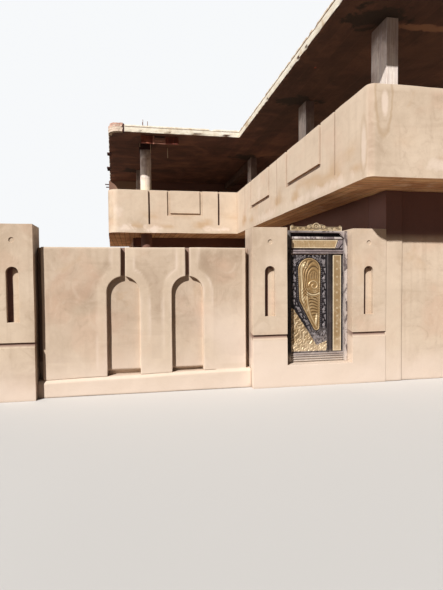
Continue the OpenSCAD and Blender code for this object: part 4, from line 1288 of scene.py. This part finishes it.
def border_mask(x, z):
    """Silver ornament: a waving stem with leaves, rosettes, bars, bead rows and curls in the top corners."""
    mask = np.zeros(x.shape)
    pitch = 0.153
    for side, path in zip((-1, 1), BORDER_PATHS):
        path = [(HEAD_X + a, HEAD_Z + b) for a, b in path]
        run, off = beside(x, z, path)
        mask = np.maximum(mask, 0.30 * bell(off - 0.024 * wave(run, pitch), 0.0045))
        for phase in (0.2, 0.7):
            step = np.mod(run / pitch - phase, 1.0) - 0.5
            leaf = np.hypot(step * pitch / 0.026,
                            (off - 0.040 * math.cos(2 * math.pi * (phase + 0.5)) * side) / 0.008)
            mask = np.maximum(mask, rise(1.2 - leaf, 0.0, 0.4))
        for i, (cx, cz, way) in enumerate(strung(path, pitch)):
            ux, uz = math.cos(way), math.sin(way)
            along, across = (x - cx) * ux + (z - cz) * uz, -(x - cx) * uz + (z - cz) * ux
            near = np.hypot(along, across)
            if i % 2 == 0:
                petals = 0.026 * (1.0 + 0.22 * np.cos(6 * np.arctan2(across, along)))
                mask = np.maximum(mask, 1.2 * rise(petals - near, -0.003, 0.004))
                mask = np.where(near < 0.007, mask * 0.3, mask)
                for end in (-1, 1):
                    curl = spiral((0.050 * end, side * 0.018), 0.006, 0.021, 0, 400)
                    mask = np.maximum(mask, 0.95 * bell(path_gap(along, across, curl), 0.0045))
            else:
                bar = np.hypot(np.maximum(np.abs(along) - 0.045, 0.0), across - side * 0.034)
                mask = np.maximum(mask, 1.1 * bell(bar, 0.0075))
                bead = np.hypot(np.mod(along + 0.01, 0.020) - 0.010, across + side * 0.030)
                mask = np.maximum(mask, 0.55 * bell(bead, 0.005) * rise(0.055 - np.abs(along), 0.0, 0.004))
    for side in (-1, 1):
        corner_x = HEAD_X + side * 0.325 - 0.02
        for k in range(6):
            for drop_by in (0.0, 0.055):
                turn = 60 * k + 900 * drop_by
                curl = spiral((corner_x - side * (0.015 + 0.040 * k), HEAD_Z + 0.282 - 0.026 * (4 - k) - drop_by),
                              0.005, 0.023, turn, turn + 300)
                mask = np.maximum(mask, 0.9 * bell(path_gap(x, z, curl), 0.0055))
    top = np.hypot(np.mod(x, 0.082) - 0.041, z - HEAD_Z - 0.272)
    gap = field_gap(x, z)
    ticks = rise(wave(z - 0.8 * x, 0.038), -0.2, 0.5)
    mask = np.maximum.reduce([mask, rise(0.015 - top, -0.003, 0.004), 0.65 * bell(gap - 0.026, 0.007) * ticks])
    clear = rise(gap, 0.006, 0.016) * rise(corner_gap(x, z), 0.004, 0.014)
    return mask * clear * rise(edge_gap(x, z), 0.010, 0.020)


def steel_height(x, z):
    edge = edge_gap(x, z)
    return 0.004 * bell(edge - 0.012, 0.007) - 0.002 * bell(edge - 0.026, 0.004) + 0.006 * border_mask(x, z)


def moulding(name, runs, profile):
    """Strips of one profile in the rails' paint; runs hold (start, end) points at the strip's foot line."""
    bm = bmesh.new()
    for start, end in runs:
        across = (end - start).normalized().cross(Vector((0, 1, 0)))
        loops = [[bm.verts.new(p + across * v + Vector((0, -out, 0))) for v, out in profile] for p in (start, end)]
        bm.faces.new(loops[0])
        bm.faces.new(loops[1][::-1])
        for i in range(len(profile)):
            j = (i + 1) % len(profile)
            bm.faces.new((loops[0][j], loops[0][i], loops[1][i], loops[1][j]))
    bmesh.ops.recalc_face_normals(bm, faces=bm.faces)
    return piece(rounded(new_object(name, bm), 0.0015, 2), RAIL, "root", "gunmetal", angle=50.0)


def round_bar(name, paths, radius, material, slot, *nodes):
    """Round bars along lines of points."""
    curve = bpy.data.curves.new(name, "CURVE")
    curve.dimensions = "3D"
    curve.bevel_depth, curve.bevel_resolution = radius, 2
    curve.use_fill_caps = True
    for path in paths:
        spline = curve.splines.new("POLY")
        spline.points.add(len(path) - 1)
        spline.points.foreach_set("co", [c for p in path for c in (*p, 1.0)])
    source = placed(name + "_line", curve)
    bpy.context.view_layer.update()
    mesh = bpy.data.meshes.new_from_object(source.evaluated_get(bpy.context.evaluated_depsgraph_get()))
    bpy.data.objects.remove(source)
    bpy.data.curves.remove(curve)
    mesh.name = name
    piece(placed(name, mesh), material, "root", slot, *nodes)


def make_gate_leaf():
    steel = relief("leaf_steel", (LEAF_LOW[0], LEAF_LOW[2]), (LEAF_HIGH[0], LEAF_HIGH[2]), 0.006, LEAF_Y,
                   steel_height, LEAF_HIGH[1] - LEAF_Y, silver=border_mask)
    piece(steel, LEAF_STEEL, "gate", "gunmetal", "gate_leaf")
    field = relief("leaf_gilt_field", (FIELD_LOW[0] - 0.01, FIELD_LOW[2] - 0.02),
                   (FIELD_HIGH[0] + 0.01, FIELD_HIGH[2] + 0.01), 0.005, LEAF_Y, gilt_height, 0.010, -0.0055,
                   pale=gilt_pale_and_highlight, deep=gilt_hollow_shade)
    piece(field, GILT, "gate", "gilt", "gate_leaf_panel")
    corner = relief("leaf_gilt_corner", (LEAF_LOW[0] + 0.008, LEAF_LOW[2] + 0.008),
                    (LEAF_HIGH[0] - 0.008, HEAD_Z - 0.70), 0.005, LEAF_Y, floral_height, 0.010, -0.0045,
                    # Painted highlight on the leaves' crests and painted shade in the hollows between them.
                    pale=lambda x, z: 0.8 * rise(floral_height(x, z), 0.006, 0.011),
                    deep=lambda x, z: 0.7 * rise(-floral_height(x, z), -0.004, -0.0016))
    piece(corner, GILT_PALE, "gate", "gilt")


# Mouldings of the frame: distance up from the foot line and out from the face
OGEE = [(0.0, 0.0), (0.0, 0.012), (0.006, 0.020), (0.016, 0.022), (0.026, 0.016), (0.032, 0.006), (0.036, 0.0)]
FLAT = [(0.0, 0.0), (0.004, 0.010), (0.012, 0.014), (0.040, 0.014), (0.048, 0.010), (0.052, 0.0)]
SHEET_SET = 0.015


def make_gate_frame():
    low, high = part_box("gate_frame")
    light_low, light_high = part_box("gate_transom_panel")
    side_low, side_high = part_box("gate_side_panel")
    face, rail_foot = low[1] + 0.065, light_low[2] - 0.085

    def film(p):
        """Torn film down the right post and along the top rail."""
        return max(smooth(p.x, high[0] - 0.075, high[0] - 0.045),
                   0.2 * smooth(p.z, high[2] - 0.05, high[2] - 0.03))

    def dark(p):
        """Painted shadow of the left pier on the left post, dark paint on the mullion, painted shade between the
        bottom rail's mouldings, and a duller right post.
        """
        mullion = LEAF_HIGH[0] + 0.003 < p.x < side_low[0] + 0.01 and LEAF_LOW[2] < p.z < rail_foot
        bottom = p.z < LEAF_LOW[2] and p.x < side_high[0]
        return max(0.95 * smooth(p.x, LEAF_LOW[0], LEAF_LOW[0] - 0.01), 0.95 * mullion, 0.75 * bottom,
                   0.45 * smooth(p.x, side_high[0] - 0.01, side_high[0]))

    steel = rounded(new_object("gate_frame_steel", node_mesh("gate_frame")), 0.004)
    paint(steel, "film", film)
    paint(steel, "dark", dark)
    piece(steel, RAIL, "root", "gunmetal", "gate_frame", angle=40.0)

    def across(y, z):
        return Vector((LEAF_LOW[0] - 0.006, y, z)), Vector((side_high[0], y, z))

    moulding("gate_rail_mouldings", [across(face, low[2] + up) for up in (0.012, 0.058, 0.104, 0.142)]
             + [across(face, light_low[2] - down) for down in (0.040, 0.080)], OGEE)
    border = moulding("gate_light_border", [across(light_low[1] + SHEET_SET, light_high[2] - 0.120)],
                      [(v, out * 1.4) for v, out in FLAT])
    paint(border, "film", lambda p: 0.9)
    bead_x = LEAF_HIGH[0] + 0.030
    bead = moulding("gate_mullion_bead", [(Vector((bead_x, face, LEAF_LOW[2] - 0.006)),
                                           Vector((bead_x, face, rail_foot)))],
                    [(v * 0.75, out * 0.9) for v, out in FLAT])
    paint(bead, "dark", lambda p: 0.84)
    make_sheet("gate_light", "gate_transom_panel", (0.040, 0.030), (0.100, 0.131), 0.060)
    make_sheet("gate_side_strip", "gate_side_panel", (0.035, 0.010), (0.035, 0.010), 0.0)
    make_corner_plate(light_high[0], light_low[2] + 0.030, light_low[1] + SHEET_SET)


def make_sheet(name, node, low_inset, high_inset, mitre):
    """Dark sheet with a gilt field that has a pale rim, slanting at its right end, and light embossing with a
    painted highlight on its crests.
    """
    low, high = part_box(node)
    x0, x1 = low[0] + low_inset[0], high[0] - high_inset[0]
    z0, z1 = low[2] + low_inset[1], high[2] - high_inset[1]
    face = low[1] + SHEET_SET
    outline = [(x0, z0), (x1 - mitre, z0), (x1, z1), (x0, z1)]
    wide = (x1 - x0) > (z1 - z0)

    def vine(x, z):
        """A waving line between two plain ones, or rosettes between rows of beads."""
        if wide:
            return 0.35 * wave(x - x0, 0.034) + 0.6 * bell(np.abs(z - (z0 + z1) / 2) - 0.030, 0.004)
        run, off = z - z0, x - (x0 + x1) / 2
        place = np.mod(run, 0.155) - 0.0775
        petals = 0.024 * (1 + 0.25 * np.cos(6 * np.arctan2(off, place)))
        beads = bell(np.hypot(np.mod(run, 0.031) - 0.0155, np.abs(off) - 0.036), 0.006)
        return rise(petals - np.hypot(place, off), -0.003, 0.003) + 0.6 * beads

    def height(x, z):
        gap = outline_gap(x, z, outline)
        return (-0.005 + 0.015 * rise(-gap, -0.003, 0.005) + 0.004 * bell(gap + 0.010, 0.006)
                + 0.0035 * vine(x, z) * rise(-gap, 0.018, 0.026))

    # Pale rim, and a painted highlight on the crests of the embossing.
    def pale(x, z):
        gap = outline_gap(x, z, outline)
        return 0.9 * bell(gap + 0.010, 0.009) + 0.35 * rise(height(x, z), 0.0115, 0.0135) * rise(-gap, 0.018, 0.026)

    field = relief(name + "_field", (x0 - 0.01, z0 - 0.01), (x1 + 0.01, z1 + 0.01), 0.005, face, height, 0.008,
                   -0.0045, pale=pale, deep=lambda x, z: np.full(x.shape, 0.0 if wide else 0.45))
    piece(field, GILT_PALE, "root", "gilt")
    bm = unit_cube()
    for v in bm.verts:
        v.co = Vector([low[i] + (v.co[i] + 0.5) * (high[i] - low[i]) for i in range(3)])
        v.co.y = max(v.co.y, face)
    piece(rounded(new_object(name + "_sheet", bm), 0.002), STEEL, "root", "gilt", node)


def make_corner_plate(right_x, foot_z, face):
    """Grey plate at the right end of the top light, with a slanting slot painted dark as painted shade."""
    top_z = foot_z + 0.166
    outline = [(right_x - 0.150, foot_z), (right_x, foot_z), (right_x, top_z), (right_x - 0.090, top_z)]
    slot = [(right_x - 0.085, foot_z - 0.010), (right_x - 0.012, foot_z + 0.080)]

    def height(x, z):
        return -0.006 + (0.018 * rise(-outline_gap(x, z, outline), -0.002, 0.006)
                         * rise(path_gap(x, z, slot), 0.008, 0.012))

    plate = relief("gate_light_corner", (right_x - 0.17, foot_z - 0.01), (right_x, foot_z + 0.18), 0.004, face,
                   # The slot is painted dark: painted shade.
                   height, 0.008, dark=lambda x, z: 1.0 - rise(height(x, z), -0.002, 0.004))
    piece(plate, RAIL, "root", "gunmetal")


# Scrolls on each half of the crown: centre from its middle and foot, first and last radius, first and last turn
CROWN_SCROLLS = [((0.150, 0.085), 0.008, 0.034, 40, 420), ((0.262, 0.052), 0.006, 0.027, 0, 380),
                 ((0.372, 0.048), 0.006, 0.024, 60, 420), ((0.495, 0.082), 0.004, 0.018, 0, 360),
                 ((0.070, 0.094), 0.020, 0.020, 0, 360)]


def make_crown():
    """Cast strip: softened edges, scrolls along the shoulders, loops under the dome and a bead line at the foot;
    painted shade between the scrolls and a painted highlight along the top edge.
    """
    low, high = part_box("gate_crown")
    middle, face, rise_z = (low[0] + high[0]) / 2, low[1], high[2] - low[2]
    lines = []
    for side in (-1, 1):
        curves = [spiral(*scroll) for scroll in CROWN_SCROLLS]
        curves.append([(0.05 + 0.40 * k / 20, 0.022 + 0.012 * math.sin(k * 1.1)) for k in range(21)])
        lines += [[(middle + side * x, low[2] + z) for x, z in curve] for curve in curves]
    for r, t0, t1 in ((0.066, -10, 190), (0.024, 0, 360)):
        lines.append([(middle + x, low[2] + z) for x, z in spiral((0.0, rise_z - 0.072), r, r, t0, t1)])
    lines.append([(low[0] + 0.01, low[2] + 0.008), (high[0] - 0.01, low[2] + 0.008)])

    bm = node_mesh("gate_crown")
    gridded(bm, (0.007, 1.0, 0.007), low, high)
    strip = new_object("gate_crown_strip", bm)
    x, _, z = np.array([v.co for v in strip.data.vertices]).T
    away = np.abs(x - middle)
    near = np.minimum.reduce([path_gap(x, z, line) for line in lines])
    # Painted shade between the scrolls, where the strip looks pierced, a painted highlight along the top edge, and
    # paler ends.
    deep = rise(near, 0.007, 0.013) * rise(z, low[2] + 0.020, low[2] + 0.034) * (1.0 - rise(away, 0.50, 0.53))
    keep(strip, "deep", 0.9 * deep)
    keep(strip, "pale", np.clip(0.8 * rise(z, high[2] - 0.020, high[2]) + 0.5 * (away > 0.52), 0.0, 1.0))
    piece(rounded(strip, 0.003), GILT_BRIGHT, "root", "gilt", "gate_crown", angle=40.0)
    round_bar("gate_crown_scrolls", [[(x, face - 0.001, z) for x, z in line] for line in lines], 0.0055,
              GILT_BRIGHT, "gilt")


# Suns: strength, angle across in degrees, colour, direction of the light
SUNS = {"key": (5.35, 1.2, (1.0, 0.98, 0.95), (0.79, 1.0, -0.895)),
        "fill": (0.74, 25.0, (0.97, 0.96, 0.98), (1.0, 0.02, -0.16)),
        "back": (2.20, 35.0, (0.98, 0.98, 1.0), (-0.85, -1.0, -0.62))}


def light_scene():
    """Faint even sky with a paler backdrop for the camera, and three suns."""
    world = bpy.data.worlds.new("studio")
    bpy.context.scene.world = world
    world.use_nodes = True
    nodes, links = world.node_tree.nodes, world.node_tree.links
    paths = nodes.new("ShaderNodeLightPath")
    sky = nodes["Background"]
    sky.inputs["Color"].default_value = (0.90, 0.95, 1.0, 1.0)
    sky.inputs["Strength"].default_value = 0.08
    backdrop = nodes.new("ShaderNodeBackground")
    backdrop.inputs["Color"].default_value = (0.93, 0.945, 0.96, 1.0)
    mix = nodes.new("ShaderNodeMixShader")
    links.new(paths.outputs["Is Camera Ray"], mix.inputs["Fac"])
    links.new(sky.outputs["Background"], mix.inputs[1])
    links.new(backdrop.outputs["Background"], mix.inputs[2])
    links.new(mix.outputs["Shader"], nodes["World Output"].inputs["Surface"])
    for name, (energy, angle, colour, way) in SUNS.items():
        data = bpy.data.lights.new(name, "SUN")
        data.energy, data.angle, data.color = energy, math.radians(angle), colour
        lamp = placed(name, data)
        lamp.rotation_mode = "QUATERNION"
        lamp.rotation_quaternion = Vector(way).to_track_quat("-Z", "Y")


def make_floor():
    """Pale floor that gives the light of sunlit ground and looks paler still to the camera."""
    mesh = bpy.data.meshes.new("floor")
    half = 160.0
    mesh.from_pydata([(-half, -half, 0), (half, -half, 0), (half, half, 0), (-half, half, 0)], [],
                     [(0, 1, 2, 3)])
    s = Shader("floor")
    seen = s.add("LightPath").outputs["Is Camera Ray"]
    mesh.materials.append(s.finish(s.mix(seen, (0.19, 0.14, 0.11), (0.62, 0.605, 0.59)), 0.95))
    placed("floor", mesh)


make_camera()
dress_cad_nodes()
make_plaster()
make_gate_leaf()
make_gate_frame()
make_crown()
make_roof()
make_kerb()
make_kerb_joint()
make_columns()
make_formwork()
light_scene()
make_floor()
bpy.context.scene.view_settings.view_transform = "Standard"
